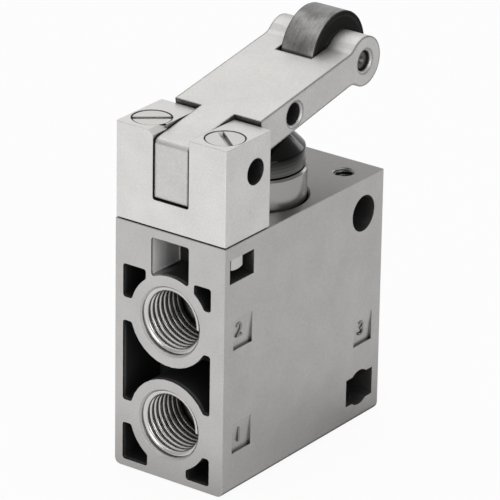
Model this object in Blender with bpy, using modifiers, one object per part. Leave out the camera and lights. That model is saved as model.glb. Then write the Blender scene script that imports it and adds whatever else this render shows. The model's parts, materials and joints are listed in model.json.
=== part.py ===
"""Roller lever air valve: a three-port poppet valve in a die-cast housing.

A lever with a roller swings in a slotted bracket on top of the housing and presses a plunger.
The plunger's hollow stem first closes the exhaust way and then pushes the poppet off its seat.

Frame: metres, +Z up, front ports towards -Y, origin at the centre of the housing's base.
"""

import math

import bmesh
import bpy
from mathutils import Matrix, Vector

MM = 0.001
DEG = math.pi / 180.0

# Clearances
SEAT_GAP = 0.3 * MM
PIN_GAP = 0.15 * MM
SEAL_GAP = 0.2 * MM
CUT_MARGIN = 1.0 * MM

# Housing
BODY_WIDTH = 25.0 * MM
BODY_DEPTH = 50.8 * MM
BODY_HEIGHT = 49.8 * MM
BODY_EDGE_RADIUS = 1.1 * MM
LEFT_WALL = 1.75 * MM
RIGHT_WALL = 3.1 * MM
PLUNGER_WALL = 2.1 * MM
BASE_WALL = 1.4 * MM
TOP_WALL = 1.8 * MM
BORE_FLOOR = 3.3 * MM

# Ports, G1/4 size, at the thread's major radius
PORT_RADIUS = 6.6 * MM
PORT_MOUTH_RADIUS = 7.0 * MM
PORT_BOSS_RADIUS = 9.0 * MM
PORT_DEPTH = 12.5 * MM
PORT_TIP_RADIUS = 3.5 * MM
PORT_TIP_DEPTH = 1.5 * MM
OUTLET_PORT_HEIGHT = 32.15 * MM
SUPPLY_PORT_HEIGHT = 11.3 * MM
EXHAUST_PORT_HEIGHT = 19.0 * MM
PASSAGE_RADIUS = 1.7 * MM
PASSAGE_INSET = 0.6 * MM

# Cored pockets in the front face
POCKET_DEPTH = 11.5 * MM
POCKET_FILLET = 0.55 * MM
TOP_POCKET_WIDTH = 8.6 * MM
TOP_POCKET_DEPTH = 8.6 * MM
UPPER_WEB = 5.5 * MM
LOWER_LEFT_WEB = 4.9 * MM
LOWER_RIGHT_WEB = 4.05 * MM
LEFT_LAND_ANGLE = 15 * DEG
RIGHT_LAND_ANGLE = 29 * DEG

# Port-number recesses in the right side
LABEL_WIDTH = 5.8 * MM
LABEL_HEIGHT = 6.0 * MM
LABEL_TOP_DEPTH = 0.08 * MM
LABEL_DEPTH = 0.55 * MM
LABEL_DROP = 0.35 * MM
LABEL_SETBACK = 5.75 * MM
REAR_LABEL_SETBACK = 6.35 * MM

# Mounting holes
MOUNT_HOLE_RADIUS = 3.6 * MM
MOUNT_HOLE_SETBACK = 7.05 * MM
UPPER_MOUNT_DROP = 7.1 * MM
MOUNT_SPACING = 36.0 * MM
MOUNT_WINDOW_WIDTH = 8.6 * MM
MOUNT_WINDOW_HEIGHT = 5.6 * MM
TAPPED_RADIUS = 2.0 * MM
TAPPED_SPACING = 15.1 * MM
TAPPED_SETBACK = 6.8 * MM
TAPPED_DEPTH = 6.0 * MM

# Lever bracket and its screws
BRACKET_CLEARANCE = 1.7 * MM
BRACKET_CROWN = 6.62 * MM
BRACKET_EDGE = 0.3 * MM
SLOT_WIDTH = 8.2 * MM
SLOT_FLOOR = 5.65 * MM
SLOT_FILLET = 0.5 * MM
SLOT_RELIEF = 0.95 * MM
PIVOT_SETBACK = 8.9 * MM
PIVOT_HEIGHT = 12.43 * MM
PIVOT_PIN_RADIUS = 2.4 * MM
SCREW_SETBACK = 5.2 * MM
SCREW_RADIUS = 1.7 * MM
SCREW_HEAD_RADIUS = 3.75 * MM
SCREW_HEAD_DROP = 0.1 * MM
SCREW_SLOT_WIDTH = 1.2 * MM
SCREW_SLOT_DEPTH = 0.9 * MM
SCREW_CLEARANCE = 0.25 * MM
SCREW_POINT = 0.8 * MM
SCREW_SLOT_TURN = 39 * DEG
NUT_WIDTH = 6.0 * MM
NUT_HEIGHT = 2.8 * MM
NUT_CHAMFER_ANGLE = 30 * DEG
NUT_WINDOW_WIDTH = 7.4 * MM
NUT_WINDOW_HEIGHT = 4.75 * MM
NUT_WALL = 2.7 * MM

# Lever, measured along and across its own bar from the pivot
LEVER_TILT = 10.25 * DEG
LEVER_SIDE_STEP = 2.75 * MM
BAR_TOP = 6.45 * MM
BAR_BOTTOM = -0.62 * MM
BAR_TAPER = 0.0135
BAR_START = 6.4 * MM
TONGUE_WIDTH = 7.6 * MM
TONGUE_RADIUS = 1.3 * MM
TONGUE_TOE_RADIUS = 0.4 * MM
TONGUE_SETBACK = 0.2 * MM
ROLLER_REACH = 39.05 * MM
ROLLER_LIFT = 2.53 * MM
EAR_RADIUS = 4.87 * MM
EAR_FILLET = 3.0 * MM
FORK_WIDTH = 8.2 * MM
FORK_CLEARANCE = 0.45 * MM
PRESS_PIN_REACH = 16.45 * MM
PRESS_PIN_LIFT = 2.7 * MM
PRESS_PIN_RADIUS = 2.0 * MM
PRESS_PIN_RECESS = 2.4 * MM
PRESS_POCKET_WIDTH = 10.0 * MM
PRESS_POCKET_LENGTH = 11.2 * MM
PRESS_POCKET_TOP = 3.6 * MM
CROSS_BORE_CHAMFER = 0.45 * MM

# Roller
ROLLER_RADIUS = 8.37 * MM
ROLLER_EDGE = 0.25 * MM
ROLLER_SIDE_GAP = 0.35 * MM
ROLLER_BUSH_RADIUS = 2.9 * MM
ROLLER_PIN_RADIUS = 1.85 * MM
ROLLER_PIN_RECESS = 0.9 * MM

# Plunger
PLUNGER_TRAVEL = 3.2 * MM
PLUNGER_CLEARANCE = 0.3 * MM
PLUNGER_BORE_DEPTH = 10.3 * MM
SLEEVE_RISE = 5.9 * MM
SLEEVE_SKIRT_DROP = 6.6 * MM
SLEEVE_WALL = 1.4 * MM
SLEEVE_HUB_RADIUS = 4.8 * MM
SLEEVE_HUB_DROP = 1.0 * MM
SLEEVE_WEB_BOTTOM = 1.5 * MM
SLEEVE_CHAMFER = 0.35 * MM
CAP_STEP = 0.4 * MM
CAP_TIP_RADIUS = 3.94 * MM
CAP_TIP_RISE = 0.35 * MM
CAP_SPIGOT_RADIUS = 5.0 * MM
CAP_SPIGOT_BOTTOM = 2.4 * MM
WIPER_DROP = 3.0 * MM
WIPER_HEIGHT = 1.3 * MM
WIPER_DEPTH = 0.9 * MM

# Inner stack
BUSH_BORE_RADIUS = 8.8 * MM
BUSH_FLANGE_HEIGHT = 3.1 * MM
BUSH_SEAT_DROP = 15.3 * MM
EXHAUST_BORE_RADIUS = 8.2 * MM
OUTLET_BORE_RADIUS = 7.2 * MM
SUPPLY_BORE_RADIUS = 6.6 * MM
GUIDE_HEIGHT = 3.0 * MM
GUIDE_TOP_DROP = 2.85 * MM
GUIDE_FIT = 0.25 * MM
SEAT_RISE = 2.5 * MM
SEAT_HEIGHT = 3.0 * MM
SEAT_BORE_RADIUS = 4.1 * MM
SEAT_LIP_HEIGHT = 0.2 * MM
SEAT_LIP_WIDTH = 0.6 * MM
SKIRT_WALL = 1.3 * MM
SKIRT_WINDOW_WIDTH = 7.0 * MM
SKIRT_RING_HEIGHT = 1.2 * MM
STEM_RADIUS = 3.0 * MM
STEM_BORE_RADIUS = 1.6 * MM
STEM_CROSS_RADIUS = 1.1 * MM
STEM_BORE_RISE = 1.6 * MM
RING_RADIUS = 9.2 * MM
RING_WIDTH = 1.6 * MM
RING_THICKNESS = 0.8 * MM
RING_OPENING = 7.0 * MM
STEM_SEAL_SECTION = 0.75 * MM
BODY_SEAL_SECTION = 0.6 * MM

# Poppet, with its stroke after the stem has closed the exhaust way
POPPET_RADIUS = 5.5 * MM
POPPET_HEIGHT = 3.3 * MM
POPPET_SEAL_RADIUS = 4.9 * MM
POPPET_SEAL_HEIGHT = 1.3 * MM
POPPET_SEAL_RISE = 0.4 * MM
POPPET_SPIGOT_RADIUS = 2.3 * MM
POPPET_SPIGOT_LENGTH = 2.6 * MM
POPPET_TRAVEL = 2.4 * MM

# Springs
PLUNGER_SPRING_CLEARANCE = 0.5 * MM
PLUNGER_SPRING_WIRE = 0.6 * MM
PLUNGER_SPRING_TURNS = 5
POPPET_SPRING_RADIUS = 3.4 * MM
POPPET_SPRING_WIRE = 0.35 * MM
POPPET_SPRING_TURNS = 3

# Facets
ROUND_STEPS = 32
INNER_STEPS = 24
SMALL_STEPS = 20
PLUNGER_STEPS = 40
ROLLER_STEPS = 40
ARC_STEPS = 4
COIL_STEPS = 12
RING_STEPS = 20
RING_SECTION_STEPS = 6

# Places that follow from the sizes above
FRONT_Y = -BODY_DEPTH / 2
BACK_Y = BODY_DEPTH / 2
SIDE_X = BODY_WIDTH / 2
LEVER_WIDTH = BODY_WIDTH - 2 * LEVER_SIDE_STEP
POCKET_LEFT = -SIDE_X + LEFT_WALL
POCKET_RIGHT = SIDE_X - RIGHT_WALL
PIVOT_Y = FRONT_Y + PIVOT_SETBACK
PIVOT_Z = BODY_HEIGHT + PIVOT_HEIGHT
BRACKET_HEIGHT = PIVOT_HEIGHT + BRACKET_CROWN
PLUNGER_RADIUS = SIDE_X - PLUNGER_WALL - PLUNGER_CLEARANCE
BRACKET_DEPTH = BODY_DEPTH / 2 - PLUNGER_RADIUS - BRACKET_CLEARANCE
CAP_RADIUS = PLUNGER_RADIUS - CAP_STEP
PLUNGER_SPRING_RADIUS = SLEEVE_HUB_RADIUS + PLUNGER_SPRING_CLEARANCE + PLUNGER_SPRING_WIRE
SCREW_X = (SLOT_WIDTH / 2 + SIDE_X) / 2
SCREW_Y = FRONT_Y + SCREW_SETBACK
SCREW_TOP = BODY_HEIGHT + BRACKET_HEIGHT - SCREW_HEAD_DROP
NUT_TOP = BODY_HEIGHT - NUT_WALL - SEAT_GAP
BUSH_SEAT = BODY_HEIGHT - BUSH_SEAT_DROP
BUSH_BOTTOM = BUSH_SEAT + SEAT_GAP
BUSH_TOP = BUSH_BOTTOM + BUSH_FLANGE_HEIGHT
GUIDE_TOP = OUTLET_PORT_HEIGHT - GUIDE_TOP_DROP
GUIDE_BOTTOM = GUIDE_TOP - GUIDE_HEIGHT
SEAT_BOTTOM = SUPPLY_PORT_HEIGHT + SEAT_RISE
SEAT_TOP = SEAT_BOTTOM + SEAT_HEIGHT
SEAT_LIP = SEAT_BOTTOM - SEAT_LIP_HEIGHT
POPPET_SEAL_TOP = SEAT_LIP - SEAT_GAP
STEM_TIP = POPPET_SEAL_TOP + PLUNGER_TRAVEL - POPPET_TRAVEL + SEAT_GAP
POPPET_TOP = POPPET_SEAL_TOP - POPPET_SEAL_RISE
POPPET_BOTTOM = POPPET_TOP - POPPET_HEIGHT


class Edge:
    """A straight outline edge. The open space lies on its left."""

    def __init__(self, start, end):
        self.point = Vector(start)
        self.direction = (Vector(end) - self.point).normalized()

    def offset(self, distance):
        """Return the edge moved to its left by distance."""
        left = Vector((-self.direction.y, self.direction.x))
        moved = self.point + left * distance
        return Edge(moved, moved + self.direction)

    def foot(self, point):
        """Return the point of the edge nearest to point."""
        return self.point + self.direction * (point - self.point).dot(self.direction)


class Round:
    """A round outline edge. The open space lies outside its circle."""

    def __init__(self, center, radius):
        self.center = Vector(center)
        self.radius = radius

    def offset(self, distance):
        """Return the circle grown by distance."""
        return Round(self.center, self.radius + distance)

    def foot(self, point):
        """Return the point of the circle nearest to point."""
        return self.center + (point - self.center).normalized() * self.radius


def meeting_point(first, second, near):
    """Return the crossing of two outline edges that lies nearest to near."""
    if isinstance(first, Edge) and isinstance(second, Edge):
        normal = Vector((-second.direction.y, second.direction.x))
        reach = (second.point - first.point).dot(normal) / first.direction.dot(normal)
        return first.point + first.direction * reach
    line, ring = (first, second) if isinstance(first, Edge) else (second, first)
    middle = line.foot(ring.center)
    half_chord = math.sqrt(ring.radius ** 2 - (middle - ring.center).length_squared)
    ends = [middle + line.direction * half_chord, middle - line.direction * half_chord]
    return min(ends, key=lambda end: (end - Vector(near)).length)


def arc(center, start, end, steps):
    """Return points from start to end round center, the short way, with both ends."""
    center = Vector(center)
    radius = (Vector(start) - center).length
    first = math.atan2(start[1] - center.y, start[0] - center.x)
    sweep = math.atan2(end[1] - center.y, end[0] - center.x) - first
    sweep = (sweep + math.pi) % (2 * math.pi) - math.pi
    angles = [first + sweep * step / steps for step in range(steps + 1)]
    return [center + radius * Vector((math.cos(a), math.sin(a))) for a in angles]


def fillet(first, second, near, radius):
    """Return the arc that rounds the corner of two edges, on their left or outside."""
    center = meeting_point(first.offset(radius), second.offset(radius), near)
    return arc(center, first.foot(center), second.foot(center), ARC_STEPS)


def pocket_outline(edges, corners, radius):
    """Return a pocket's outline with a fillet at each corner.

    corners[i] is near the place where edges[i] meets the next edge.
    """
    rounds = []
    for index, corner in enumerate(corners):
        rounds.append(fillet(edges[index], edges[(index + 1) % len(edges)], corner, radius))
    points = []
    for index, edge in enumerate(edges):
        if isinstance(edge, Round):
            points += arc(edge.center, rounds[index - 1][-1], rounds[index][0], 3 * ARC_STEPS)[1:-1]
        points += rounds[index]
    return points


def clear_scene():
    """Remove what the scene holds."""
    for obj in list(bpy.data.objects):
        bpy.data.objects.remove(obj)


def new_collection(name):
    """Return a new collection under the scene's own."""
    collection = bpy.data.collections.new(name)
    bpy.context.scene.collection.children.link(collection)
    return collection


def move_to(obj, collection):
    """Put an object in one collection only."""
    for old in list(obj.users_collection):
        old.objects.unlink(obj)
    collection.objects.link(obj)
    return obj


def add_box(name, low, high, parent=None):
    """Add a box between two corners, in the parent's frame."""
    low = Vector(low)
    high = Vector(high)
    bpy.ops.mesh.primitive_cube_add(size=1.0)
    obj = bpy.context.object
    obj.name = name
    obj.data.transform(Matrix.Diagonal((*(high - low), 1.0)))
    obj.location = (low + high) / 2
    obj.parent = parent
    return obj


def add_rod(name, radius, start, end, steps=SMALL_STEPS, parent=None):
    """Add a cylinder from start to end, in the parent's frame."""
    start = Vector(start)
    end = Vector(end)
    bpy.ops.mesh.primitive_cylinder_add(vertices=steps, radius=radius, depth=(end - start).length)
    obj = bpy.context.object
    obj.name = name
    obj.rotation_euler = (end - start).to_track_quat("Z", "Y").to_euler()
    obj.location = (start + end) / 2
    obj.parent = parent
    return obj


def add_turned(name, profile, steps=ROUND_STEPS, closed=False, location=(0, 0, 0), axis=(0, 0, 1),
               parent=None):
    """Turn a profile of (radius, height) points round an axis with a Screw modifier.

    The points run down the outer side. A closed profile makes a ring.
    """
    mesh = bpy.data.meshes.new(name)
    edges = [(i, i + 1) for i in range(len(profile) - 1)]
    if closed:
        edges.append((len(profile) - 1, 0))
    mesh.from_pydata([(radius, 0.0, height) for radius, height in profile], edges, [])
    obj = bpy.data.objects.new(name, mesh)
    bpy.context.scene.collection.objects.link(obj)
    screw = obj.modifiers.new("Turn", "SCREW")
    screw.steps = steps
    screw.render_steps = steps
    screw.use_merge_vertices = True
    screw.merge_threshold = 0.01 * MM
    obj.rotation_euler = Vector(axis).to_track_quat("Z", "Y").to_euler()
    obj.location = location
    obj.parent = parent
    return obj


def add_ring(name, section, middle_radius, location):
    """Add an O-ring of round section, lying flat."""
    bpy.ops.mesh.primitive_torus_add(
        major_segments=RING_STEPS, minor_segments=RING_SECTION_STEPS, major_radius=middle_radius,
        minor_radius=section, location=location)
    obj = bpy.context.object
    obj.name = name
    return obj


def curve_to_mesh(obj):
    """Replace a curve object by a closed mesh object at the same place."""
    bpy.context.view_layer.update()
    evaluated = obj.evaluated_get(bpy.context.evaluated_depsgraph_get())
    mesh = bpy.data.meshes.new_from_object(evaluated)
    shape = bmesh.new()
    shape.from_mesh(mesh)
    bmesh.ops.remove_doubles(shape, verts=shape.verts, dist=0.001 * MM)
    bmesh.ops.recalc_face_normals(shape, faces=shape.faces)
    shape.to_mesh(mesh)
    shape.free()
    name = obj.name
    matrix = obj.matrix_world.copy()
    bpy.data.objects.remove(obj)
    solid = bpy.data.objects.new(name, mesh)
    bpy.context.scene.collection.objects.link(solid)
    solid.matrix_world = matrix
    return solid


def add_outline(name, points, thickness, plane, offset=0.0, parent=None):
    """Extrude a closed 2D outline evenly to both sides of a plane.

    plane is "XZ" or "YZ", and offset moves the solid along the plane's normal.
    """
    curve = bpy.data.curves.new(name, "CURVE")
    curve.dimensions = "2D"
    curve.fill_mode = "BOTH"
    curve.extrude = thickness / 2
    spline = curve.splines.new("POLY")
    spline.points.add(len(points) - 1)
    for point, (across, up) in zip(spline.points, points):
        point.co = (across, up, 0.0, 1.0)
    spline.use_cyclic_u = True
    obj = bpy.data.objects.new(name, curve)
    bpy.context.scene.collection.objects.link(obj)
    if plane == "XZ":
        turn = Matrix(((1, 0, 0), (0, 0, -1), (0, 1, 0)))
        obj.matrix_world = Matrix.Translation((0, offset, 0)) @ turn.to_4x4()
    else:
        turn = Matrix(((0, 0, 1), (1, 0, 0), (0, 1, 0)))
        obj.matrix_world = Matrix.Translation((offset, 0, 0)) @ turn.to_4x4()
    solid = curve_to_mesh(obj)
    solid.parent = parent
    return solid


def add_coil(name, radius, wire, bottom, top, turns):
    """Add a compression spring on the Z axis between two levels."""
    curve = bpy.data.curves.new(name, "CURVE")
    curve.dimensions = "3D"
    curve.bevel_depth = wire
    curve.bevel_resolution = 1
    curve.use_fill_caps = True
    spline = curve.splines.new("POLY")
    count = turns * COIL_STEPS
    spline.points.add(count)
    for index, point in enumerate(spline.points):
        angle = 2 * math.pi * index / COIL_STEPS
        height = bottom + wire + (top - bottom - 2 * wire) * index / count
        point.co = (radius * math.cos(angle), radius * math.sin(angle), height, 1.0)
    obj = bpy.data.objects.new(name, curve)
    bpy.context.scene.collection.objects.link(obj)
    return curve_to_mesh(obj)


def combine(target, other, cutters, operation="DIFFERENCE"):
    """Cut, join or intersect target with other through a Boolean modifier."""
    boolean = target.modifiers.new(other.name, "BOOLEAN")
    boolean.operation = operation
    boolean.object = other
    move_to(other, cutters)
    other.hide_render = True
    other.display_type = "WIRE"


def round_edges(obj, radius, chosen, segments=3):
    """Round the mesh edges that chosen picks by their middle point and direction."""
    shape = bmesh.new()
    shape.from_mesh(obj.data)
    edges = []
    for edge in shape.edges:
        first, second = (vertex.co for vertex in edge.verts)
        if chosen((first + second) / 2, (second - first).normalized()):
            edges.append(edge)
    bmesh.ops.bevel(shape, geom=edges, offset=radius, segments=segments, profile=0.5,
                    affect="EDGES", clamp_overlap=True)
    shape.to_mesh(obj.data)
    shape.free()


def finish(obj, parts, color, metallic, roughness, smooth=True):
    """Give a finished piece its material, shading and collection."""
    material = bpy.data.materials.new(obj.name)
    material.use_nodes = True
    shader = material.node_tree.nodes["Principled BSDF"]
    shader.inputs["Base Color"].default_value = (*color, 1.0)
    shader.inputs["Metallic"].default_value = metallic
    shader.inputs["Roughness"].default_value = roughness
    obj.data.materials.clear()
    obj.data.materials.append(material)
    if smooth and obj.data.polygons:
        obj.data.shade_smooth()
        obj.data.set_sharp_from_angle(angle=35 * DEG)
    move_to(obj, parts)
    return obj


def finish_nickel(obj, parts):
    """Finish a satin nickel casting or turned piece."""
    return finish(obj, parts, (0.66, 0.65, 0.62), 1.0, 0.38)


def finish_steel(obj, parts):
    """Finish a bright steel pin, screw or spring."""
    return finish(obj, parts, (0.58, 0.57, 0.55), 1.0, 0.3)


def finish_brass(obj, parts):
    """Finish an inner brass piece."""
    return finish(obj, parts, (0.72, 0.55, 0.28), 1.0, 0.35)


def finish_rubber(obj, parts):
    """Finish a black rubber seal."""
    return finish(obj, parts, (0.03, 0.03, 0.03), 0.0, 0.6)


def ring_profile(inner, outer, bottom, top):
    """Return a plain ring's closed profile."""
    return [(inner, top), (outer, top), (outer, bottom), (inner, bottom)]


def boss(height):
    """Return the round edge of a front port's boss."""
    return Round((0.0, height), PORT_BOSS_RADIUS)


def land_reach(angle):
    """Return how far above or below a port its boss meets the land at an angle from level."""
    return PORT_BOSS_RADIUS * math.sin(angle)


def side_pocket(left, right, bottom, top, port_height, boss_corner):
    """Return a box-shaped pocket whose one corner is taken by a port boss.

    boss_corner is the corner's pair of signs, such as (1, -1) for right and bottom.
    """
    corners = [(left, bottom), (right, bottom), (right, top), (left, top)]
    signs = [(-1, -1), (1, -1), (1, 1), (-1, 1)]
    edges = []
    meets = []
    ring = boss(port_height)
    for index, corner in enumerate(corners):
        edges.append(Edge(corners[index - 1], corner))
        if signs[index] == boss_corner:
            following = Edge(corner, corners[(index + 1) % 4])
            meets.append(meeting_point(edges[-1], ring, corners[index - 1]))
            edges.append(ring)
            meets.append(meeting_point(following, ring, corners[(index + 1) % 4]))
        else:
            meets.append(corner)
    return pocket_outline(edges, meets, POCKET_FILLET)


def top_pocket():
    """Return the pocket between the top wall and the outlet port's boss."""
    ring = boss(OUTLET_PORT_HEIGHT)
    half = TOP_POCKET_WIDTH / 2
    top = BODY_HEIGHT - TOP_WALL
    left_down = Edge((-half, top), (-half, OUTLET_PORT_HEIGHT))
    right_up = Edge((half, OUTLET_PORT_HEIGHT), (half, top))
    ceiling = Edge((half, top), (-half, top))
    left_foot = meeting_point(left_down, ring, (-half, top))
    right_foot = meeting_point(right_up, ring, (half, top))
    edges = [left_down, ring, right_up, ceiling]
    return pocket_outline(edges, [left_foot, right_foot, (half, top), (-half, top)], POCKET_FILLET)


def middle_pocket():
    """Return the waisted pocket between the two port bosses."""
    upper = boss(OUTLET_PORT_HEIGHT)
    lower = boss(SUPPLY_PORT_HEIGHT)
    left = POCKET_LEFT
    right = POCKET_RIGHT
    left_top = OUTLET_PORT_HEIGHT - land_reach(LEFT_LAND_ANGLE)
    left_bottom = SUPPLY_PORT_HEIGHT + land_reach(LEFT_LAND_ANGLE)
    right_top = OUTLET_PORT_HEIGHT - land_reach(RIGHT_LAND_ANGLE)
    right_bottom = SUPPLY_PORT_HEIGHT + land_reach(RIGHT_LAND_ANGLE)
    edges = [
        Edge((left, left_top), (left, left_bottom)),
        Edge((left, left_bottom), (0.0, left_bottom)),
        lower,
        Edge((0.0, right_bottom), (right, right_bottom)),
        Edge((right, right_bottom), (right, right_top)),
        Edge((right, right_top), (0.0, right_top)),
        upper,
        Edge((0.0, left_top), (left, left_top)),
    ]
    corners = [
        (left, left_bottom),
        meeting_point(edges[1], lower, (left, left_bottom)),
        meeting_point(edges[3], lower, (right, right_bottom)),
        (right, right_bottom),
        (right, right_top),
        meeting_point(edges[5], upper, (right, right_top)),
        meeting_point(edges[7], upper, (left, left_top)),
        (left, left_top),
    ]
    return pocket_outline(edges, corners, POCKET_FILLET)


def cut_front_pockets(housing, cutters):
    """Core the front face round the two port bosses."""
    upper = OUTLET_PORT_HEIGHT
    lower = SUPPLY_PORT_HEIGHT
    crown = upper + PORT_BOSS_RADIUS
    left = POCKET_LEFT
    right = POCKET_RIGHT
    left_reach = land_reach(LEFT_LAND_ANGLE)
    right_reach = land_reach(RIGHT_LAND_ANGLE)
    outlines = {
        "upper_left_pocket": side_pocket(left, -UPPER_WEB, upper + left_reach, crown, upper, (1, -1)),
        "upper_right_pocket": side_pocket(UPPER_WEB, right, upper + right_reach, crown, upper, (-1, -1)),
        "lower_left_pocket": side_pocket(
            left, -LOWER_LEFT_WEB, BASE_WALL, lower - left_reach, lower, (1, 1)),
        "lower_right_pocket": side_pocket(
            LOWER_RIGHT_WEB, right, BASE_WALL, lower - right_reach, lower, (-1, 1)),
        "middle_pocket": middle_pocket(),
    }
    for name, outline in outlines.items():
        middle = FRONT_Y + (POCKET_DEPTH - CUT_MARGIN) / 2
        combine(housing, add_outline(name, outline, POCKET_DEPTH + CUT_MARGIN, "XZ", middle), cutters)
    middle = FRONT_Y + (TOP_POCKET_DEPTH - CUT_MARGIN) / 2
    cutter = add_outline("top_pocket", top_pocket(), TOP_POCKET_DEPTH + CUT_MARGIN, "XZ", middle)
    combine(housing, cutter, cutters)


def cut_port(housing, cutters, name, face_y, height):
    """Bore one port into the front or rear face, with its mouth chamfer and drill tip."""
    profile = [
        (0.0, CUT_MARGIN),
        (PORT_MOUTH_RADIUS, CUT_MARGIN),
        (PORT_MOUTH_RADIUS, 0.0),
        (PORT_RADIUS, PORT_RADIUS - PORT_MOUTH_RADIUS),
        (PORT_RADIUS, -PORT_DEPTH),
        (PORT_TIP_RADIUS, -PORT_DEPTH - PORT_TIP_DEPTH),
        (0.0, -PORT_DEPTH - PORT_TIP_DEPTH),
    ]
    outward = (0, 1 if face_y > 0 else -1, 0)
    cutter = add_turned(name, profile, location=(0, face_y, height), axis=outward)
    combine(housing, cutter, cutters)


def cut_passages(housing, cutters):
    """Drill the ways from the ports' bottoms to their chambers in the main bore."""
    front_bottom = FRONT_Y + PORT_DEPTH
    back_bottom = BACK_Y - PORT_DEPTH
    corner = PORT_RADIUS - PASSAGE_RADIUS
    outlet_chamber = SEAT_TOP + PASSAGE_RADIUS
    exhaust_chamber = (GUIDE_TOP + BUSH_SEAT) / 2
    routes = {
        "supply_passage": (
            (0, front_bottom, SUPPLY_PORT_HEIGHT), (0, -SUPPLY_BORE_RADIUS / 2, SUPPLY_PORT_HEIGHT)),
        "outlet_passage": (
            (0, front_bottom - PASSAGE_INSET, OUTLET_PORT_HEIGHT - corner + PASSAGE_INSET),
            (0, -OUTLET_BORE_RADIUS, outlet_chamber)),
        "exhaust_passage": (
            (0, back_bottom + PASSAGE_INSET, EXHAUST_PORT_HEIGHT + corner - PASSAGE_INSET),
            (0, EXHAUST_BORE_RADIUS, exhaust_chamber)),
    }
    for name, (start, end) in routes.items():
        way = (Vector(end) - Vector(start)).normalized()
        drill = add_rod(name, PASSAGE_RADIUS, start, Vector(end) + way * PASSAGE_RADIUS)
        combine(housing, drill, cutters)


def main_bore_profile():
    """Return the stepped bore that takes the plunger and the inner stack from the top."""
    top = BODY_HEIGHT
    plunger_bore = PLUNGER_RADIUS + PLUNGER_CLEARANCE
    chamfer = 0.4 * MM
    groove_top = BUSH_TOP + SEAT_GAP + RING_THICKNESS + 0.15 * MM
    groove_bottom = BUSH_TOP + SEAT_GAP - 0.15 * MM
    groove_radius = RING_RADIUS + SEAL_GAP
    return [
        (0.0, top + CUT_MARGIN),
        (plunger_bore + chamfer, top + CUT_MARGIN),
        (plunger_bore + chamfer, top),
        (plunger_bore, top - chamfer),
        (plunger_bore, top - PLUNGER_BORE_DEPTH),
        (BUSH_BORE_RADIUS, top - PLUNGER_BORE_DEPTH),
        (BUSH_BORE_RADIUS, groove_top),
        (groove_radius, groove_top),
        (groove_radius, groove_bottom),
        (BUSH_BORE_RADIUS, groove_bottom),
        (BUSH_BORE_RADIUS, BUSH_SEAT),
        (EXHAUST_BORE_RADIUS, BUSH_SEAT),
        (EXHAUST_BORE_RADIUS, GUIDE_BOTTOM - SEAT_GAP),
        (OUTLET_BORE_RADIUS, GUIDE_BOTTOM - SEAT_GAP),
        (OUTLET_BORE_RADIUS, SEAT_BOTTOM - SEAT_GAP),
        (SUPPLY_BORE_RADIUS, SEAT_BOTTOM - SEAT_GAP),
        (SUPPLY_BORE_RADIUS, BORE_FLOOR),
        (0.0, BORE_FLOOR),
    ]


def cut_fastener_seats(housing, cutters):
    """Cut the nut windows and the screw holes above them, on both sides."""
    hole = SCREW_RADIUS + SCREW_CLEARANCE
    window_top = BODY_HEIGHT - NUT_WALL
    for side, word in ((-1, "left"), (1, "right")):
        inner = SCREW_X - NUT_WIDTH / 2 - SEAL_GAP
        ends = sorted((side * inner, side * (SIDE_X + CUT_MARGIN)))
        window = add_box(
            f"nut_window_{word}",
            (ends[0], SCREW_Y - NUT_WINDOW_WIDTH / 2, window_top - NUT_WINDOW_HEIGHT),
            (ends[1], SCREW_Y + NUT_WINDOW_WIDTH / 2, window_top))
        combine(housing, window, cutters)
        place = (side * SCREW_X, SCREW_Y)
        drill = add_rod(f"screw_hole_{word}", hole, (*place, window_top - CUT_MARGIN),
                        (*place, BODY_HEIGHT + CUT_MARGIN))
        combine(housing, drill, cutters)


def cut_mounting_holes(housing, cutters):
    """Cut the two cross holes, the lower one's window and the tapped holes in the top."""
    reach = SIDE_X + CUT_MARGIN
    y = BACK_Y - MOUNT_HOLE_SETBACK
    upper = BODY_HEIGHT - UPPER_MOUNT_DROP
    lower = upper - MOUNT_SPACING
    for word, z in (("upper", upper), ("lower", lower)):
        drill = add_rod(f"mount_hole_{word}", MOUNT_HOLE_RADIUS, (-reach, y, z), (reach, y, z),
                        ROUND_STEPS)
        combine(housing, drill, cutters)
    half_width = MOUNT_WINDOW_WIDTH / 2
    half_height = MOUNT_WINDOW_HEIGHT / 2
    window = add_box("mount_window", (-reach, y - half_width, lower - half_height),
                     (reach, y + half_width, lower + half_height))
    combine(housing, window, cutters)
    for side, word in ((-1, "left"), (1, "right")):
        place = (side * TAPPED_SPACING / 2, BACK_Y - TAPPED_SETBACK)
        profile = [
            (0.0, CUT_MARGIN),
            (TAPPED_RADIUS + 0.25 * MM, CUT_MARGIN),
            (TAPPED_RADIUS + 0.25 * MM, 0.0),
            (TAPPED_RADIUS, -0.25 * MM),
            (TAPPED_RADIUS, -TAPPED_DEPTH),
            (0.0, -TAPPED_DEPTH),
        ]
        cutter = add_turned(f"tapped_hole_{word}", profile, SMALL_STEPS,
                            location=(*place, BODY_HEIGHT))
        combine(housing, cutter, cutters)


def cut_label_recesses(housing, cutters):
    """Cut the three port-number recesses in the right side, each deeper towards its foot."""
    places = {
        "outlet_label": (FRONT_Y + LABEL_SETBACK, OUTLET_PORT_HEIGHT - LABEL_DROP),
        "supply_label": (FRONT_Y + LABEL_SETBACK, SUPPLY_PORT_HEIGHT - LABEL_DROP),
        "exhaust_label": (BACK_Y - REAR_LABEL_SETBACK, EXHAUST_PORT_HEIGHT - LABEL_DROP),
    }
    half = LABEL_HEIGHT / 2
    for name, (y, z) in places.items():
        wedge = [
            (SIDE_X - LABEL_DEPTH, z - half),
            (SIDE_X + CUT_MARGIN, z - half),
            (SIDE_X + CUT_MARGIN, z + half),
            (SIDE_X - LABEL_TOP_DEPTH, z + half),
        ]
        combine(housing, add_outline(name, wedge, LABEL_WIDTH, "XZ", y), cutters)


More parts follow.
